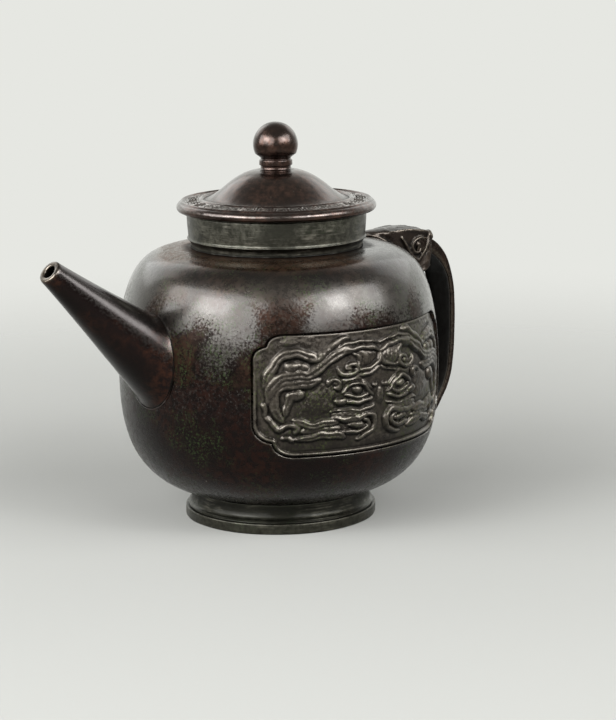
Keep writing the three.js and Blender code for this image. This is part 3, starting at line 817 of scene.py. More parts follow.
# %% Mask lines
# Bands in mm from the panel's middle, on the left half, which is mirrored: half width, height, line
BANDS = {
    "outer mane": (1.0, 0.72, [(-27.1, 2.1), (-26, 4.9), (-24.4, 7.6), (-22.1, 9), (-19.3, 9.1),
        (-16.7, 8.4), (-15.2, 7.7)]),
    "rising mane": (0.75, 0.68, [(-17.2, 7.7), (-15.2, 7.8), (-13.7, 9), (-11.8, 10.4), (-9.9, 11.5),
        (-7.9, 11.8)]),
    "crest mane": (1.1, 0.85, [(-26.6, -1.4), (-26, 0.9), (-25.2, 2.6), (-23.9, 3.8), (-22.2, 4.4),
        (-19.9, 4.7), (-17.4, 4.6), (-15.3, 5.4), (-13.5, 6.8), (-11.3, 8.2), (-8.9, 9.1), (-6.4, 9.4)]),
    "crest brow": (0.6, 0.8, [(-10.4, 8.7), (-8.7, 9.2), (-5.4, 9.6), (-2, 9.3), (0, 8.3)]),
    "crest edge": (0.4, 0.5, [(-12.4, 8.9), (-9.4, 10.3), (-6.4, 10.8), (-3.3, 10.7), (0, 10.1)]),
    "inner mane": (1.0, 0.75, [(-23.2, -5.4), (-24.8, -3.1), (-25, -0.2), (-24.2, 1.3), (-22.5, 2.4),
        (-19.9, 2.8), (-17.1, 2.8), (-15, 3.1)]),
    "cloud line": (0.5, 0.5, [(-23.2, 5.0), (-21.2, 5.0), (-19.6, 5.2), (-17, 5.4)]),
    "comma tail": (0.85, 0.65, [(-19.9, 0.6), (-21.3, -0.1), (-22.2, -2), (-22.7, -4.1)]),
    "cheek curl": (0.55, 0.72, [(-10.9, 5.8), (-10.4, 4.7), (-8.7, 4.1), (-7.1, 4.2), (-5.8, 5.1),
        (-6.3, 6.2), (-7.7, 6.3), (-8.6, 5.7)]),
    "curl stem": (0.4, 0.5, [(-5.8, 5.1), (-5.3, 6.6), (-5.9, 7.8), (-7.5, 8.5)]),
    "leaf edge": (0.5, 0.7, [(-5.8, 4.6), (-3.7, 4.7), (-1.9, 5.3), (-0.4, 6.2), (0, 8.3)]),
    "leaf fold": (0.45, 0.5, [(-5.1, 3.5), (-3.1, 3.7), (-1.3, 4.3), (0, 5.2)]),
    "ear curl": (0.55, 0.68, [(-13.3, 1.9), (-12.7, 2.8), (-11.5, 3.1), (-10.5, 2.5), (-10.7, 1.4),
        (-11.8, 1.2)]),
    "upper lid": (0.45, 0.75, [(-9.7, 0.2), (-8.2, 1.4), (-6.2, 2), (-4.4, 1.2), (-3.3, -0.2), (-2, -0.9)]),
    "lower lid": (0.42, 0.66, [(-9.2, -0.1), (-7.4, -0.95), (-5.2, -1.15), (-3.5, -0.6)]),
    "nose line": (0.35, 0.5, [(-4.6, 2.3), (-3.3, 1.1), (-2.4, 0.3)]),
    "cheek fold": (0.55, 0.62, [(-8.8, -2), (-6.5, -2.4), (-4.5, -2.2), (-2.2, -1.5)]),
    "muzzle top": (0.45, 0.62, [(-12.4, -3.7), (-10.3, -3.3), (-7.2, -3.6), (-4.1, -3.7), (-1.8, -3.3)]),
    "muzzle hook": (0.62, 0.86, [(-11.9, -5.2), (-9, -5.8), (-6.5, -5.6), (-3.8, -4.9), (-2.1, -5.4),
        (-1.5, -7), (-2.1, -8.6), (-3.9, -9.7), (-6.3, -10.3)]),
    "inner hook": (0.5, 0.7, [(-4.6, -6), (-3.4, -6.5), (-3.2, -7.5), (-4.6, -8.4), (-7, -8.8),
        (-9.3, -8.5)]),
    "cheek band": (0.85, 0.78, [(-20.8, -4.9), (-18.6, -6.2), (-16.3, -6.5), (-13.7, -6), (-11, -6.3)]),
    "mid beard": (0.6, 0.42, [(-19.4, -7.9), (-16.5, -7.5), (-13.5, -7.4), (-10.5, -7.8)]),
    "beard": (0.8, 0.82, [(-20.4, -9.6), (-18, -9.4), (-15.1, -8.6), (-12.1, -8.9), (-9.2, -9.4)]),
    "tuft": (0.6, 0.6, [(-27.3, -4.2), (-25.4, -6), (-23.7, -7.6)]),
    "leaf tuft": (0.6, 0.66, [(-24, -7.4), (-22.6, -6.5), (-21.2, -6.2), (-20, -7), (-20.5, -8.1)]),
    "flame": (0.55, 0.5, [(-27.8, -1.4), (-27, -2.8), (-27.3, -4.4)]),
    "tip tuft": (0.5, 0.45, [(-23.6, -9.2), (-22, -9.3), (-21, -10.2)]),
}
# Round bosses: middle, half sizes and height
BOSSES = {
    "cloud lobe": ((-21.2, 6.15), (1.75, 1.2), 0.72),
    "second lobe": ((-18.6, 6.2), (1.5, 1.15), 0.7),
    "comma": ((-19.8, 0.35), (1.75, 1.4), 0.8),
    "curl eye": ((-8.1, 5.3), (0.85, 0.6), 0.6),
    "ear eye": ((-11.5, 2.1), (0.6, 0.5), 0.5),
    "eyeball": ((-6.2, 0.4), (1.35, 0.95), 0.86),
    "tear bead": ((-10.1, -1.6), (1.6, 0.9), 0.85),
    "nostril": ((-1.4, 1.2), (0.8, 0.75), 0.78),
    "nose bridge": ((0, -1.6), (1, 2), 0.45),
    "muzzle": ((-7.2, -4.6), (5, 1.2), 0.5),
    "gum": ((-6.3, -7.1), (2.2, 0.75), 0.62),
    "crest fan": ((-3.6, 7), (3.4, 1.9), 0.55),
}
# Wide soft swellings and hollows of the ground: middle, half sizes and height
SWELLS = {
    "cheek": ((-15, -1.4), (6, 4.2), 0.3),
    "jaw": ((-14, -8), (8, 2.6), 0.2),
    "snout": ((-6, -6), (6, 4), 0.3),
    "brow": ((-8, 2.6), (5, 3.4), 0.22),
    "forehead": ((-3.6, 7.2), (5, 3), 0.25),
    "eye socket": ((-6.2, 0.4), (4, 2.4), -0.2),
    "crest hollow": ((0, 3.2), (3, 2.2), -0.25),
    "jaw cleft": ((0, -6.6), (1.6, 5), -0.35),
    "mane hollow": ((-22.4, -1.4), (2.4, 3), -0.25),
    "upper corner": ((-20.5, 11.4), (7, 2.2), 0.12),
    "lower edge": ((-12, -11.6), (12, 1.6), -0.2),
}
# Tool cuts: half width, depth, line
CUTS = {
    "under the eye": (0.55, 0.3, [(-12.3, -2.7), (-10, -2.9), (-6, -3.1), (-2.1, -2.6)]),
    "under the mane": (0.5, 0.25, [(-16, 3.9), (-14.2, 4.6), (-12.4, 6.2), (-10, 7.5), (-8, 8)]),
    "under the crest": (0.6, 0.35, [(-4.6, 2.8), (-2.4, 3.1), (0, 3.9)]),
    "under the fan": (0.5, 0.3, [(-6, 4.4), (-3, 4.4), (-1, 5)]),
    "leaf rib": (0.16, 0.2, [(-4.9, 8.4), (-4, 5.4)]),
    "second rib": (0.16, 0.2, [(-3.5, 8.5), (-2.6, 5.8)]),
    "third rib": (0.16, 0.2, [(-2, 8.4), (-1.3, 6.4)]),
    "muzzle hair": (0.14, 0.14, [(-10.6, -4.4), (-7, -4.6), (-3.4, -4.4)]),
    "second hair": (0.14, 0.14, [(-10, -5), (-7, -5.1), (-4.4, -4.7)]),
}
RIGHT_ONLY = "crest fan", "under the fan"
HAND_WAVER = 0.35  # mm, since a hand laid the wax and no band is true
CAST_ROUGHNESS = 0.13
MOAT = 0.2  # depth of the narrow hollow along each band
TOP_OF_RELIEF = 0.87
WIDE_BAND = 0.78  # half width over which a band is parted into two strands
STRAND_GROOVE = 0.3  # share of the band's height
LINE_STEPS = 6  # from point to point of a line
BAND_TAPER, CUT_TAPER = 0.16, 0.2  # shares of a line over which its ends taper off
RIDGE_POWER = 0.6  # gives a band a round back and steep sides


# %% Relief height
def ripple(spots, size, seed):
    """A soft wavering from -1 to 1 at (u, v) spots, about size mm from crest to crest"""
    pace = 2 * np.pi / size
    u, v = spots.T
    slow = np.sin(pace * (u + 0.4 * v) + seed) * np.sin(pace * (v - 0.3 * u) + 2 * seed)
    quick = np.sin(1.7 * pace * (0.8 * u - v) + 3 * seed) * np.sin(1.9 * pace * (u + v) + seed)
    return (slow + quick) / 2


def on_mask(spots, name):
    """The (u, v) spots folded onto the left half, or out of reach of a form that the right half has"""
    folded = np.stack([-np.abs(spots[:, 0]), spots[:, 1]], 1)
    if name in RIGHT_ONLY:
        folded[spots[:, 0] < 0, 0] = 99
    return folded


def away_from(spots, name, middle, sizes):
    """How far each spot is from the middle of a round form, with 1 on its edge"""
    return np.hypot(*((on_mask(spots, name) - middle) / sizes).T)


def tapered(share, length):
    """From 0 at a line's ends to 1 at this share of its length"""
    return np.clip(np.minimum(share, 1 - share) / length, 0, 1)


def mask_forms(spots, waver):
    """Height of the bands and bosses at each spot, and how deep it lies in the moat along them"""
    raised, moat = np.zeros((2, len(spots)))
    for name, (half_width, top, points) in BANDS.items():
        folded = on_mask(spots, name)
        line = flow(points, LINE_STEPS)
        low, high = line.min(0) - 2 * half_width, line.max(0) + 2 * half_width
        near = np.flatnonzero(((folded > low) & (folded < high)).all(1))
        gap, _, share = nearest_on_line(folded[near], line)
        taper = tapered(share, BAND_TAPER) ** 0.5
        width = half_width * (0.45 + 0.6 * taper) * (1.1 + 0.12 * waver[near])
        ridge = top * (0.5 + 0.5 * taper) * np.clip(1 - (gap / width) ** 2, 0, 1) ** RIDGE_POWER
        if half_width > WIDE_BAND:
            ridge *= 1 - STRAND_GROOVE * taper * np.exp(-(gap / (0.3 * width)) ** 2)
        raised[near] = np.maximum(raised[near], ridge)
        moat[near] = np.maximum(moat[near], np.exp(-((gap / width - 1.3) / 0.35) ** 2))
    for name, (middle, sizes, top) in BOSSES.items():
        away = away_from(spots, name, middle, sizes)
        raised = np.maximum(raised, top * np.sqrt(np.clip(1 - away ** 2, 0, 1)))
        moat = np.maximum(moat, 0.8 * np.exp(-((away - 1.25) / 0.25) ** 2))
    return raised, moat


def relief_height(spots, seed):
    """Height of the panel over its field at each (u, v) spot"""
    spots = spots + HAND_WAVER * np.stack([ripple(spots, 14, 1 + seed), ripple(spots, 12, 5 + seed)], 1)
    raised, moat = mask_forms(spots, ripple(spots, 9, 2 + seed))
    raised *= 1 - 0.15 * np.abs(ripple(spots, 6, 4 + seed))
    ground = sum(rise * np.cos(np.clip(away_from(spots, name, middle, sizes), 0, 1) * np.pi / 2) ** 2
                 for name, (middle, sizes, rise) in SWELLS.items())
    height = ground * (1 - 0.5 * raised) + raised - MOAT * moat * (raised < 0.02)
    for name, (half_width, depth, points) in CUTS.items():
        gap, _, share = nearest_on_line(on_mask(spots, name), flow(points, LINE_STEPS))
        height -= depth * tapered(share, CUT_TAPER) * np.clip(1 - (gap / half_width) ** 2, 0, 1)
    rough = np.array([noise.noise((u / 2.3, v / 2.3, seed)) + 0.5 * noise.noise((u / 0.8, v / 0.8, seed))
                      for u, v in spots])
    return np.minimum(height + CAST_ROUGHNESS * rough * (1 - 0.6 * raised), TOP_OF_RELIEF)


# %% Panel mesh
PANEL_GAP = 0.2
RIM_WIDTH = 0.9
RIM_LOW, RIM_HIGH = 0.1, 0.82  # the worn rim stands high along the foot and melts away at the top
# Heights over the field, and how much they are worn: tops worn lighter, and the low field darkened, by
# negative values, with dirt and painted shade
WEAR_HEIGHTS, WEAR_LEVELS = (-0.2, 0, 0.3, 0.8), (-0.5, -0.14, 0.05, 0.35)


def panel_grid():
    """A flat grid cut to the outline less the seam, its (u, v) spots and their gaps from the outline"""
    half_u = OUTLINE[:, 0].max()
    bm = bmesh.new()
    bmesh.ops.create_grid(bm, x_segments=round(2 * half_u / PANEL_GAP),
                          y_segments=round(2 * PANEL_HALF_HEIGHT / PANEL_GAP), size=1,
                          matrix=Matrix.Diagonal((half_u, PANEL_HALF_HEIGHT, 1, 1)))
    gap, _ = outside_panel(np.array([vert.co.xy for vert in bm.verts]))
    outer = [vert for vert, out in zip(bm.verts, gap) if out > -SEAM]
    bmesh.ops.delete(bm, geom=outer, context="VERTS")
    bmesh.ops.delete(bm, geom=[vert for vert in bm.verts if not vert.link_faces], context="VERTS")
    spots = np.array([vert.co.xy for vert in bm.verts])
    gap, place = outside_panel(spots)
    inward = (spots - place) / np.maximum(np.hypot(*(spots - place).T), 1e-6)[:, None]
    edge = np.array([vert.is_boundary for vert in bm.verts])
    spots[edge] = (place + inward * SEAM)[edge]
    gap[edge] = -SEAM
    return bm, spots, gap


def with_rim(height, spots, gap, facing):
    """The relief's height inside its worn rim"""
    lower = np.interp(spots[:, 1] + 0.12 * spots[:, 0] * (facing < 0), [-9, 2], [1, 0])
    inwards = -gap / RIM_WIDTH
    rim = (RIM_LOW + (RIM_HIGH - RIM_LOW) * lower) * np.sqrt(np.clip(1 - (2 * inwards - 1.3) ** 2, 0, 1))
    groove = 0.5 * lower * (inwards < 0.65)
    height = np.maximum(height * np.clip(inwards, 0, 1), np.maximum(rim, groove))
    return height - 0.4 * (1 - lower) * np.clip(1 - 2 * inwards, 0, 1)


def panel_bmesh(facing, seed):
    """One relief panel. facing is -1 for the front and 1 for the back."""
    bm, spots, gap = panel_grid()
    height = with_rim(relief_height(spots, seed), spots, gap, facing) - FIELD_SINK
    turn, skin, top, wear_and_painted_light = [bm.verts.layers.float.new(name) for name in ("turn", "skin", "top", "wear_and_painted_light")]
    skins = body_radius(PANEL_MIDDLE + spots[:, 1])
    for vert, spot, level, radius in zip(bm.verts, spots, height, skins):
        vert[turn] = spot[0] / BODY_RADIUS
        vert[skin] = radius
        vert[top] = min(level, -0.02)
        # Worn tops, and dirt and painted shade in the low field
        vert[wear_and_painted_light] = between(level + FIELD_SINK, WEAR_HEIGHTS, WEAR_LEVELS)
        vert.co.z = PANEL_MIDDLE + spot[1]
    raised = bmesh.ops.extrude_face_region(bm, geom=list(bm.faces))["geom"]
    upper = {vert for vert in raised if isinstance(vert, bmesh.types.BMVert)}
    for vert in bm.verts:
        radius = vert[skin] + (vert[top] if vert in upper else -PANEL_BACK)
        vert.co.x = radius * math.sin(vert[turn])
        vert.co.y = facing * radius * math.cos(vert[turn])
    return outward(bm)


for panel_name, node_name, facing, seed in (("front_relief", "front_panel", -1, 0),
                                            ("back_relief", "back_panel", 1, 40)):
    finish_piece(panel_name, panel_bmesh(facing, seed), relief_patina, "pot", [node_name])

# %% [markdown]
# ## Neck and foot
# Both are plain turned rings soldered to the body: the neck is a sleeve over a set-back band, with a
# worn ridge between them, and the foot is a rim band, a groove and a drum that curves out to it.
# Dirt and painted shade darken their corners, and painted shade darkens the foot's drum under the belly.

# %% Neck and foot
NECK_TOP = 68.95
neck_profile = [(NECK_BORE, NECK_SEAT, 0), (19.3, NECK_SEAT, 0.05), (19.15, 61.4, 0.2),
                (19.2, 62.2, 0.5), (19.8, 62.85, 0.3), (20.1, 63.1, 0.25), (19.75, 63.5, 0.3),
                (20.0, 66.5, 0), (20.1, 68.6, 0.2), (19.8, NECK_TOP, 0.2), (NECK_BORE, NECK_TOP, 0.3)]
foot_profile = [(17.6, 0, 0.3), (21.6, 0, 0.3), (21.6, 2.4, 0.35), (20.75, 2.45, 0.1),
                (20.75, 2.8, 0.1), (21.2, 2.85, 0.3), (20.35, 3.6, 1.2), (20.0, 5.2, 0.6),
                (20.0, 6.3, 0), (17.6, 5.75, 0)]
# Heights, and how much they are worn. Negative values are dirt and painted shade, darkest on the foot's
# drum under the belly and in the corner at the neck's foot.
FOOT_HEIGHTS, FOOT_WEAR = (2.3, 2.7, 3.2, 4.5), (0.2, -0.1, 0, -0.4)
NECK_HEIGHTS, NECK_WEAR = (0.2, 0.5, 1.3, 1.6), (-0.8, -0.3, -0.2, 0)
for ring_name, node_name, profile, material, seed in (
        ("neck", "neck_collar", neck_profile, neck_patina, 7.3),
        ("foot", "foot_ring", foot_profile, foot_patina, 1.9)):
    ring_bm = turned(spaced(softened(profile), 0.45), 240, 4)
    press(ring_bm, 0.09, 6, seed)
    wear_and_painted_light = ring_bm.verts.layers.float.new("wear_and_painted_light")
    # Wear, and dirt and painted shade in the corners and on the foot's drum
    for vert in ring_bm.verts:
        if vert.co.z < UNDERSIDE + 1:
            vert[wear_and_painted_light] = between(vert.co.z, FOOT_HEIGHTS, FOOT_WEAR)
        elif vert.co.z < NECK_SEAT + 1.7:
            vert[wear_and_painted_light] = between(vert.co.z - NECK_SEAT, NECK_HEIGHTS, NECK_WEAR)
    finish_piece(ring_name, ring_bm, material, "pot", [node_name])

# %% [markdown]
# ## Lid
# The lid is one casting: a rounded rim, a band of square spirals in low relief between two ring
# beads, and a bell-shaped dome. The square spiral is the thunder pattern of old bronzes, and every
# second one is mirrored. Drawn on a small grid of cells, it lines up with the mesh, so its lines stay
# crisp.

# %% Lid sizes and the spiral
LID_SEAT = NECK_TOP
CROWN = 78.35
DOME_FOOT = 71.55
DOME_SPREAD, DOME_FULLNESS = 16.8, 1.62
LID_WALL = 1.8
BAND_IN, BAND_OUT = 17.2, 20.7
LID_STEPS = 720
SPIRALS = 36
SPIRAL_DEPTH, BAND_SINK = 0.26, 0.15
SPIRAL = ("#########",
          "........#",
          "#######.#",
          "#.....#.#",
          "#.###.#.#",
          "#.#...#.#",
          "#.#####.#",
          "#.......#",
          "#########")


def dome_height(radius):
    share = min(radius / DOME_SPREAD, 1) ** DOME_FULLNESS
    return DOME_FOOT + (CROWN - DOME_FOOT) * 0.5 * (1 + math.cos(math.pi * share))


def lid_profile():
    """From the inside of the seat out round the rim, up over the dome and down its inside"""
    outside = [(radius, dome_height(radius), 0) for radius in np.linspace(16.2, 3.8, 22)]
    inside = [(radius, dome_height(radius) - LID_WALL, 0) for radius in np.linspace(5.2, 15.3, 8)]
    corners = [(15.4, LID_SEAT, 0.2), (21.3, LID_SEAT, 0.3), (22.2, 69.35, 0.4), (22.35, 70.3, 0.45),
               (21.75, 71.15, 0.45), (21.45, 71.2, 0.1), (21.1, 71.75, 0.28), (BAND_OUT, 71.3, 0.05)]
    rows = 2 * (len(SPIRAL) + 2)
    corners += [(BAND_OUT + (BAND_IN - BAND_OUT) * row / rows, 71.3 + 0.5 * row / rows, 0)
                for row in range(1, rows)]
    corners += [(BAND_IN, 71.8, 0.05), (16.75, 72.2, 0.28), (16.3, 71.7, 0.12)]
    return (corners + outside
            + [(3.6, CROWN, 0), (1.8, CROWN, 0), (1.8, CROWN - LID_WALL, 0), (4.6, CROWN - LID_WALL, 0.2)]
            + inside)


def raise_spirals(bm):
    """Raises the spirals' lines over their sunk band, some of them worn lower"""
    wear_and_painted_light = bm.verts.layers.float.new("wear_and_painted_light")
    per_spiral = LID_STEPS / SPIRALS
    cells = len(SPIRAL) + 1
    for vert in bm.verts:
        radius = math.hypot(vert.co.x, vert.co.y)
        if vert.co.z < 71 or not BAND_IN + 0.05 < radius < BAND_OUT - 0.05:
            continue
        row = int((BAND_OUT - radius) / (BAND_OUT - BAND_IN) * (len(SPIRAL) + 2)) - 1
        turn = math.atan2(vert.co.y, vert.co.x) / math.tau % 1 * LID_STEPS + 0.5
        column = int(turn % per_spiral / per_spiral * cells)
        if int(turn // per_spiral) % 2:
            column = cells - 2 - column
        lined = 0 <= row < len(SPIRAL) and 0 <= column < len(SPIRAL) and SPIRAL[row][column] == "#"
        rise = min(0.75 + 0.5 * noise.noise(vert.co / 3), 1) if lined else 0
        vert.co.z += SPIRAL_DEPTH * rise - BAND_SINK
        # The whole band is marked worn, its lines more than the ground: partly wear, partly a painted
        # highlight on the band
        vert[wear_and_painted_light] = 0.42 + 0.35 * rise
    outward(bm)


lid_bm = turned(spaced(softened(lid_profile()), 1.3), LID_STEPS, 10)
raise_spirals(lid_bm)
press(lid_bm, 0.07, 5, 5.7)
press(lid_bm, 0.05, 1.6, 2.3)


def upper_rim(height):
    """The rim's underside is out of the hand's reach"""
    return np.interp(height, [69.6, 70.1], [0.1, 1])


finish_piece("lid", lid_bm, lid_patina, "lid", ["lid_plate"], rubbing=upper_rim)

# %% [markdown]
# ## Knob
# A solid ball on a collar with one flat band, cast with a tang that goes through the crown of the
# lid and is riveted over a washer inside. The washer, the ring that keeps the lid on the neck and the
# plate that closes the body's core hole are turned in the same way.

# %% Knob, washer, locating ring and base plate
BALL_RADIUS = 5.04
BALL_MIDDLE = 83.65
ball = [(BALL_RADIUS * math.cos(angle), BALL_MIDDLE + BALL_RADIUS * math.sin(angle), 0)
        for angle in np.linspace(math.radians(-24), math.pi / 2, 26)]
ball[-1] = (0, BALL_MIDDLE + BALL_RADIUS, 0)
knob_profile = [(0, 74.95, 0), (1.8, 74.95, 0.2), (2.6, 75.75, 0.2), (1.5, 75.75, 0), (1.5, CROWN, 0),
                (3.6, CROWN - 0.15, 0.1), (3.4, 78.5, 0.4), (3.4, 79, 0.15), (3.74, 79.1, 0.12),
                (3.7, 80.3, 0.2), (3.3, 80.45, 0.15), (3.5, 80.8, 0.5)] + ball
washer_profile = [(1.8, 75.75, 0.1), (4.3, 75.75, 0.2), (4.3, 76.55, 0), (1.8, 76.55, 0)]
ring_profile = [(15.4, 63.95, 0.2), (17, 63.95, 0.4), (17, LID_SEAT, 0), (15.4, LID_SEAT, 0)]
base_profile = [(0, 3.9, 0), (17.3, 3.9, 0.3), (17.3, UNDERSIDE, 0), (0, UNDERSIDE, 0)]
round_pieces = (
    ("knob", "lid_knob", knob_profile, 96, lid_patina, "lid", "lid_patina"),
    ("washer", "knob_washer", washer_profile, 64, inner_bronze, "lid", "inner_bronze"),
    ("locator", "locating_ring", ring_profile, 192, inner_bronze, "lid_seat", "inner_bronze"),
    ("base", "base_plate", base_profile, 128, inner_bronze, "pot", "inner_bronze"),
)
for name, node_name, profile, steps, material, body, slot in round_pieces:
    round_bm = turned(spaced(softened(profile), 0.6), steps, 2)
    press(round_bm, 0.08, 2.2, 9.1)
    finish_piece(name, round_bm, material, body, [node_name], rubbing=0.4)

# %% [markdown]
# ## Spout
# The spout is a straight cone rolled or cast with a fine bore, filed flat at the tip and soldered to
# the side of the body. The cone is spun about its own axis and turned into place, and then its root
# ring is moved along the cone's side until it meets the body. The solder stands as a thin uneven
# bead in the corner.

# %% Spout
SPOUT_ANGLE = math.radians(40)
SPOUT_LENGTH = 31.9
SPOUT_ROOT, SPOUT_TIP = 7.8, 2.4
SPOUT_LIP = 2.65  # the tip is hammered out a little
SPOUT_HOLE, SPOUT_WALL = 1.4, 1.3
SPOUT_START = -3.0  # the bore runs on into the wall
SPOUT_ROWS, BORE_ROWS = 60, 16
ROOT_SUNK = 0.4  # how far the root ring stands in the body's skin
FLARE, FLARE_LENGTH = 0.5, 1.1  # the root spreads a little where it meets the body
ON_SPOUT = (Matrix.Translation((-BODY_RADIUS, 0, BELT + 5.3))
            @ Matrix.Rotation(SPOUT_ANGLE - math.pi / 2, 4, "Y"))


def cone_radius(distance):
    return SPOUT_ROOT + (SPOUT_TIP - SPOUT_ROOT) * distance / SPOUT_LENGTH


def hammered(distance):
    """How far the cone is spread by the hammering of its tip"""
    return (SPOUT_LIP - SPOUT_TIP) * max(distance / SPOUT_LENGTH, 0) ** 8


def root_distance(turn):
    """How far along its axis the cone's side leaves the body, on the line at this turn"""
    low, high = -SPOUT_ROOT * 1.5, SPOUT_LENGTH
    for _ in range(24):
        middle = (low + high) / 2
        radius = cone_radius(middle)
        spot = ON_SPOUT @ Vector((radius * math.cos(turn), radius * math.sin(turn), middle))
        inside = math.hypot(spot.x, spot.y) < float(body_radius(spot.z))
        low, high = (middle, high) if inside else (low, middle)
    return low


ROOT_TURNS = np.linspace(-math.pi, math.pi, 181)
ROOTS = [root_distance(turn) for turn in ROOT_TURNS]


def spout_bmesh():
    heights = [SPOUT_LENGTH * (row / SPOUT_ROWS) ** 1.3 for row in range(SPOUT_ROWS)]
    outside = [Vector((cone_radius(height) + hammered(height), height)) for height in heights
               if height < SPOUT_LENGTH - 0.6]
    tip = [Vector((lip, SPOUT_LENGTH - drop)) for lip, drop in
           ((SPOUT_LIP, 0.55), (SPOUT_LIP - 0.08, 0.4), (SPOUT_LIP - 0.3, 0.3), (SPOUT_HOLE + 0.35, 0.32),
            (SPOUT_HOLE + 0.1, 0.42), (SPOUT_HOLE, 0.7))]
    bore = [Vector((SPOUT_HOLE + (SPOUT_ROOT - SPOUT_WALL - SPOUT_HOLE) * row / BORE_ROWS,
                    SPOUT_LENGTH - 0.7 - (SPOUT_LENGTH - 0.45 - SPOUT_START) * row / BORE_ROWS))
            for row in range(1, BORE_ROWS + 1)]
    bm = turned(outside + tip + bore, 144, 3)
    for vert in bm.verts:
        radius = math.hypot(vert.co.x, vert.co.y)
        distance = vert.co.z
        if radius < cone_radius(distance) - 0.6 or distance > SPOUT_LENGTH - 0.65:
            continue
        turn = math.atan2(vert.co.y, vert.co.x)
        root = np.interp(turn, ROOT_TURNS, ROOTS) - ROOT_SUNK
        moved = root + (SPOUT_LENGTH - root) * distance / SPOUT_LENGTH
        grown = cone_radius(moved) + hammered(moved) + FLARE * math.exp(-(moved - root) / FLARE_LENGTH)
        vert.co = (grown * math.cos(turn), grown * math.sin(turn), moved)
    bmesh.ops.transform(bm, matrix=ON_SPOUT, verts=bm.verts)
    return outward(bm)


spout_bm = spout_bmesh()
press(spout_bm, 0.08, 7, 2.2)
finish_piece("spout_cone", spout_bm, spout_patina, "pot", ["spout"])

# %% Solder bead
BEAD_TURNS, BEAD_SIDES = 180, 10


def rows_and_columns(bm, rows, columns):
    """Makes a grid with a layer for wear, dirt and painted shade, and gives each point with its row and
    column
    """
    bmesh.ops.create_grid(bm, x_segments=rows, y_segments=columns, size=1)
    wear_and_painted_light = bm.verts.layers.float.new("wear_and_painted_light")
    return wear_and_painted_light, [(vert, round((vert.co.x + 1) / 2 * rows), round((vert.co.y + 1) / 2 * columns))
                  for vert in bm.verts]


def welded(bm):
    """The grid as a tube: its meeting edges are joined, and open ends are closed"""
    bmesh.ops.remove_doubles(bm, verts=bm.verts, dist=1e-3)
    ends = [edge for edge in bm.edges if edge.is_boundary]
    if ends:
        bmesh.ops.holes_fill(bm, edges=ends, sides=0)
    return outward(bm)


def solder_bmesh():
    """A closed tube along the corner between spout and body"""
    bm = bmesh.new()
    wear_and_painted_light, points = rows_and_columns(bm, BEAD_TURNS, BEAD_SIDES)
    line = []
    for step in range(BEAD_TURNS):
        turn = math.tau * step / BEAD_TURNS
        root = np.interp(turn, ROOT_TURNS, ROOTS, period=math.tau)
        radius = cone_radius(root) + 0.25
        line.append(ON_SPOUT @ Vector((radius * math.cos(turn), radius * math.sin(turn), root - 0.1)))
    for vert, row, column in points:
        step = row % BEAD_TURNS
        around = (2 * column / BEAD_SIDES - 1) * math.pi
        here = line[step]
        along = (line[(step + 1) % BEAD_TURNS] - line[step - 1]).normalized()
        out = Vector((here.x, here.y, 0)).normalized()
        side = along.cross(out).normalized()
        thick = 0.2 + 0.12 * noise.noise(here / 1.7)
        # Dirt and painted shade darken the solder bead in the corner
        vert[wear_and_painted_light] = -0.65
        vert.co = here + (out * math.cos(around) + side * math.sin(around)) * thick
    return welded(bm)


finish_piece("spout_solder", solder_bmesh(), body_patina, "pot", [], rubbing=0)

# %% [markdown]
# ## Handle
# The strap leaves the back of the beast's head, loops down and lands low on the body. It is hollowed
# along its inner face, which makes it light and gives the thin edge that the side view shows. A grid
# is bent into a tube whose section follows the curve.

# %% Strap
STRAP_SHARES = ((0.2, 1.04), (0.5, 1.01), (0.72, 0.95), (0.865, 0.875), (0.97, 0.76), (1, 0.66),
                (1.004, 0.57), (1, 0.47), (0.97, 0.36), (0.915, 0.27), (0.76, 0.17), (0.42, 0.05),
                (-0.25, 0))
STRAP_REACH = 13.8
STRAP_LOW, STRAP_HIGH = 13.3, 58.0
STRAP_TOP_WIDTH, STRAP_LOW_WIDTH = 8.8, 7.8
STRAP_THICK, STRAP_ROOT_THICK = 2.1, 6.4
STRAP_ROWS = 150
# The section from its outer middle round to its inner middle: share of the half width, depth share
STRAP_SECTION = ((0, 0), (0.5, 0), (0.92, 0.01), (0.985, 0.04), (1, 0.12), (1, 0.5), (0.98, 0.6),
                 (0.93, 0.66), (0.86, 0.64), (0.76, 0.56), (0.5, 0.5), (0, 0.48))
STRAP_HEAD = 61.2  # height at which the strap has its full width
HOLLOW_PLACE = 0.88  # share of the half width where the hollow, darkened with dirt and painted shade, meets its worn rim


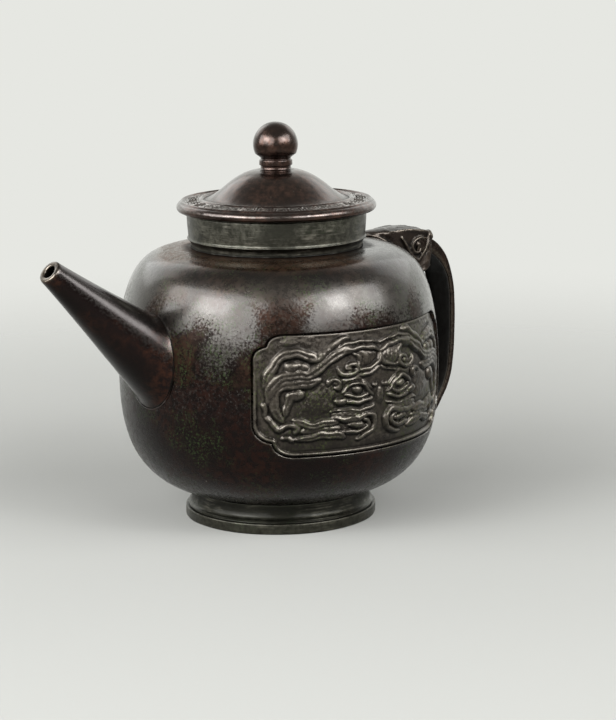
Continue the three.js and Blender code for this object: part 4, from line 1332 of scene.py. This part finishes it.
def strap_bmesh():
    curve = flow([(BODY_RADIUS + STRAP_REACH * out, STRAP_LOW + (STRAP_HIGH - STRAP_LOW) * rise)
                  for out, rise in STRAP_SHARES], 30)
    walked = walked_along(curve)
    path = at_stops(curve, walked, np.linspace(0, walked[-1], STRAP_ROWS + 1))
    heading = np.gradient(path, axis=0)
    heading /= np.hypot(*heading.T)[:, None]
    half = flow(STRAP_SECTION, 4)
    section = np.vstack([half, half[-2::-1] * (-1, 1)])
    bm = bmesh.new()
    wear_and_painted_light, points = rows_and_columns(bm, STRAP_ROWS, len(section) - 1)
    for vert, row, column in points:
        spot = section[column]
        x, z = path[row]
        level = (z - UNDERSIDE) / (STRAP_HEAD - UNDERSIDE)
        half_width = (STRAP_LOW_WIDTH + (STRAP_TOP_WIDTH - STRAP_LOW_WIDTH) * level) / 2
        root = max(0, 1 - 4 * row / STRAP_ROWS)
        thick = STRAP_THICK + (STRAP_ROOT_THICK - STRAP_THICK) * root
        depth = spot[1] * thick
        # Dirt and painted shade darken the hollow of the inner face, and its rim is worn
        if spot[1] > 0.4:
            vert[wear_and_painted_light] = -0.8 if abs(spot[0]) < HOLLOW_PLACE else 0.5
        along = heading[row]
        vert.co = (x + along[1] * depth, spot[0] * half_width, z - along[0] * depth)
    return welded(bm)


strap_bm = strap_bmesh()
press(strap_bm, 0.1, 5, 8.4)
finish_piece("strap", strap_bm, handle_patina, "pot", ["handle_strap"])

# %% [markdown]
# ## Beast head
# A hornless dragon's head bites down on the shoulder and lays its long tongue towards the neck. It
# was modelled in wax, so it is built the way a wax modeller works: lumps and ropes are pushed
# together, and a fine voxel remesh and some smoothing melt them into one skin.

# %% Wax lumps
def rope(wax_bm, stations, side=1):
    """Overlapping balls along a smooth line. A station is x, y, z and then one half size or three."""
    line = flow([(x, side * y, z, *(sizes if len(sizes) > 1 else sizes * 3))
                 for x, y, z, *sizes in stations], 7)
    bm = bmesh.new()
    for x, y, z, *sizes in line:
        place = Matrix.Translation((x, y, z)) @ Matrix.Diagonal((*sizes, 1))
        bmesh.ops.create_icosphere(bm, subdivisions=3 if max(sizes) > 1.2 else 2, radius=1, matrix=place)
    lump = bpy.data.meshes.new("lump")
    bm.to_mesh(lump)
    bm.free()
    wax_bm.from_mesh(lump)
    bpy.data.meshes.remove(lump)


# The skull's sections: x, half width, lowest and highest z
SKULL = ((28.6, 2.2, 59, 61.2), (30.6, 3.1, 57.3, 61.5), (33.5, 3.9, 53.2, 61.6), (36.8, 4.2, 51.6, 61.5),
         (39.6, 4.3, 51.2, 61.1), (42.1, 4.1, 52.4, 60.1))
CHEEK_HOLLOW = 0.4


def skull_bmesh():
    """A wedge with flat cheeks, lofted through its sections"""
    bm = bmesh.new()
    loops = []
    for x, half, low, high in SKULL:
        one_side = ((0, high + 0.35), (0.55 * half, high + 0.15), (0.93 * half, high - 0.2),
                    (half, high - 0.7), (half - CHEEK_HOLLOW, (low + high) / 2), (half, low + 0.8),
                    (0.8 * half, low), (0, low))
        points = one_side + tuple((-y, z) for y, z in one_side[-2:0:-1])
        verts = [bm.verts.new((x, y, z)) for y, z in points]
        loops.append([bm.edges.new(pair) for pair in zip(verts, verts[1:] + verts[:1])])
    for first, second in zip(loops, loops[1:]):
        bmesh.ops.bridge_loops(bm, edges=first + second)
    bmesh.ops.holes_fill(bm, edges=[edge for edge in bm.edges if edge.is_boundary], sides=0)
    return outward(bm)


def lip():
    """Stations of the lip along the shoulder, from the tongue down to the jaw's corner"""
    for z in (60.8, 60.2, 59.2, 57.6, 55.4, 53.2):
        x = float(body_radius(z)) + 0.2
        yield x, between(x, [25, 28.6, 30.6, 33.5], [1.7, 2.4, 3.3, 4.1]), z + 0.2, 0.45


# The tongue lies flat on the shoulder, in the middle
TONGUE = ((31, 0, 61, 1, 2.6, 1), (29, 0, 60.9, 1, 2.5, 1), (27, 0, 60.9, 1, 2.2, 0.9),
          (25.3, 0, 60.95, 0.8, 1.5, 0.7), (24.6, 0, 61, 0.5, 0.8, 0.5))
# These ropes are laid on both sides
ROPES = {
    "brow, from the snout back to the horn": (
        (31, 3, 61.3, 0.3), (35.6, 3.95, 61.3, 0.45), (39.2, 4.15, 60.8, 0.5), (41.2, 4, 60.4, 0.5)),
    "horn, a rolled boss with a notch before it": (
        (42, 3.4, 60.1, 0.95, 1, 0.8), (42.3, 3.9, 59.1, 0.8, 0.85, 1)),
    "ridge between cheek and neck": (
        (41.6, 4.25, 59.9, 0.36), (41.2, 4.45, 58.3, 0.42), (40.4, 4.5, 56.6, 0.42),
        (39.4, 4.45, 55.2, 0.36), (38.6, 4.3, 54, 0.3)),
    "neck plate behind the ridge": (
        (41.9, 3.7, 58, 0.75, 0.9, 1.1), (41.7, 3.8, 55.6, 0.9, 0.95, 1.2),
        (41.2, 3.7, 53.4, 1.2, 0.95, 1.1), (40.6, 3.6, 52, 1.3, 0.9, 0.7)),
    "jaw's corner": (
        (41.9, 3.7, 52.5, 0.6, 0.7, 0.4), (40.3, 3.8, 51.6, 0.9, 0.8, 0.5),
        (39.4, 3.6, 51.3, 0.7, 0.7, 0.45)),
    "eye, a low ball": (
        (38.4, 4.25, 57.7, 0.75, 0.5, 0.65), (38.5, 4.25, 57.6, 0.7, 0.5, 0.6)),
    "open swirl round the eye": (
        (39.9, 4.3, 58.9, 0.34), (38.7, 4.3, 59.2, 0.42), (37.2, 4.25, 58.6, 0.44), (36.6, 4.2, 57.3, 0.42),
        (37.2, 4.25, 56.1, 0.42), (38.4, 4.3, 55.9, 0.4), (39, 4.3, 56.6, 0.3)),
    "lip": tuple(lip()),
    "fold from the brow under the eye": (
        (33.6, 3.9, 59.6, 0.3), (35, 4, 57.6, 0.4), (36.2, 4, 55.6, 0.45), (37.6, 4.1, 54.4, 0.4)),
    "hair combed back over the crown": (
        (34.4, 1.2, 61.75, 0.3), (38.4, 1.5, 61.4, 0.4), (41, 1.7, 60.6, 0.4), (42.1, 1.6, 59.2, 0.35)),
}


# %% Head
VOXEL = 0.22  # mm
SOFTENING = 4  # rounds


def melted(lumps):
    """One skin round all the lumps, as a new bmesh"""
    wax = add_object("wax_lumps", lumps)
    melt = wax.modifiers.new("melt", "REMESH")
    melt.mode = "VOXEL"
    melt.voxel_size = VOXEL
    soften = wax.modifiers.new("soften", "SMOOTH")
    soften.factor = 0.5
    soften.iterations = SOFTENING
    result = wax.evaluated_get(bpy.context.evaluated_depsgraph_get())
    bm = bmesh.new()
    bm.from_mesh(result.to_mesh())
    result.to_mesh_clear()
    mesh = wax.data
    bpy.data.objects.remove(wax)
    bpy.data.meshes.remove(mesh)
    return bm


wax_bm = skull_bmesh()
rope(wax_bm, TONGUE)
for side in (-1, 1):
    for stations in ROPES.values():
        rope(wax_bm, stations, side)
head_bm = melted(wax_bm)
press(head_bm, 0.14, 1.6, 4.9)
finish_piece("beast_head", head_bm, head_patina, "pot", ["handle_head"])
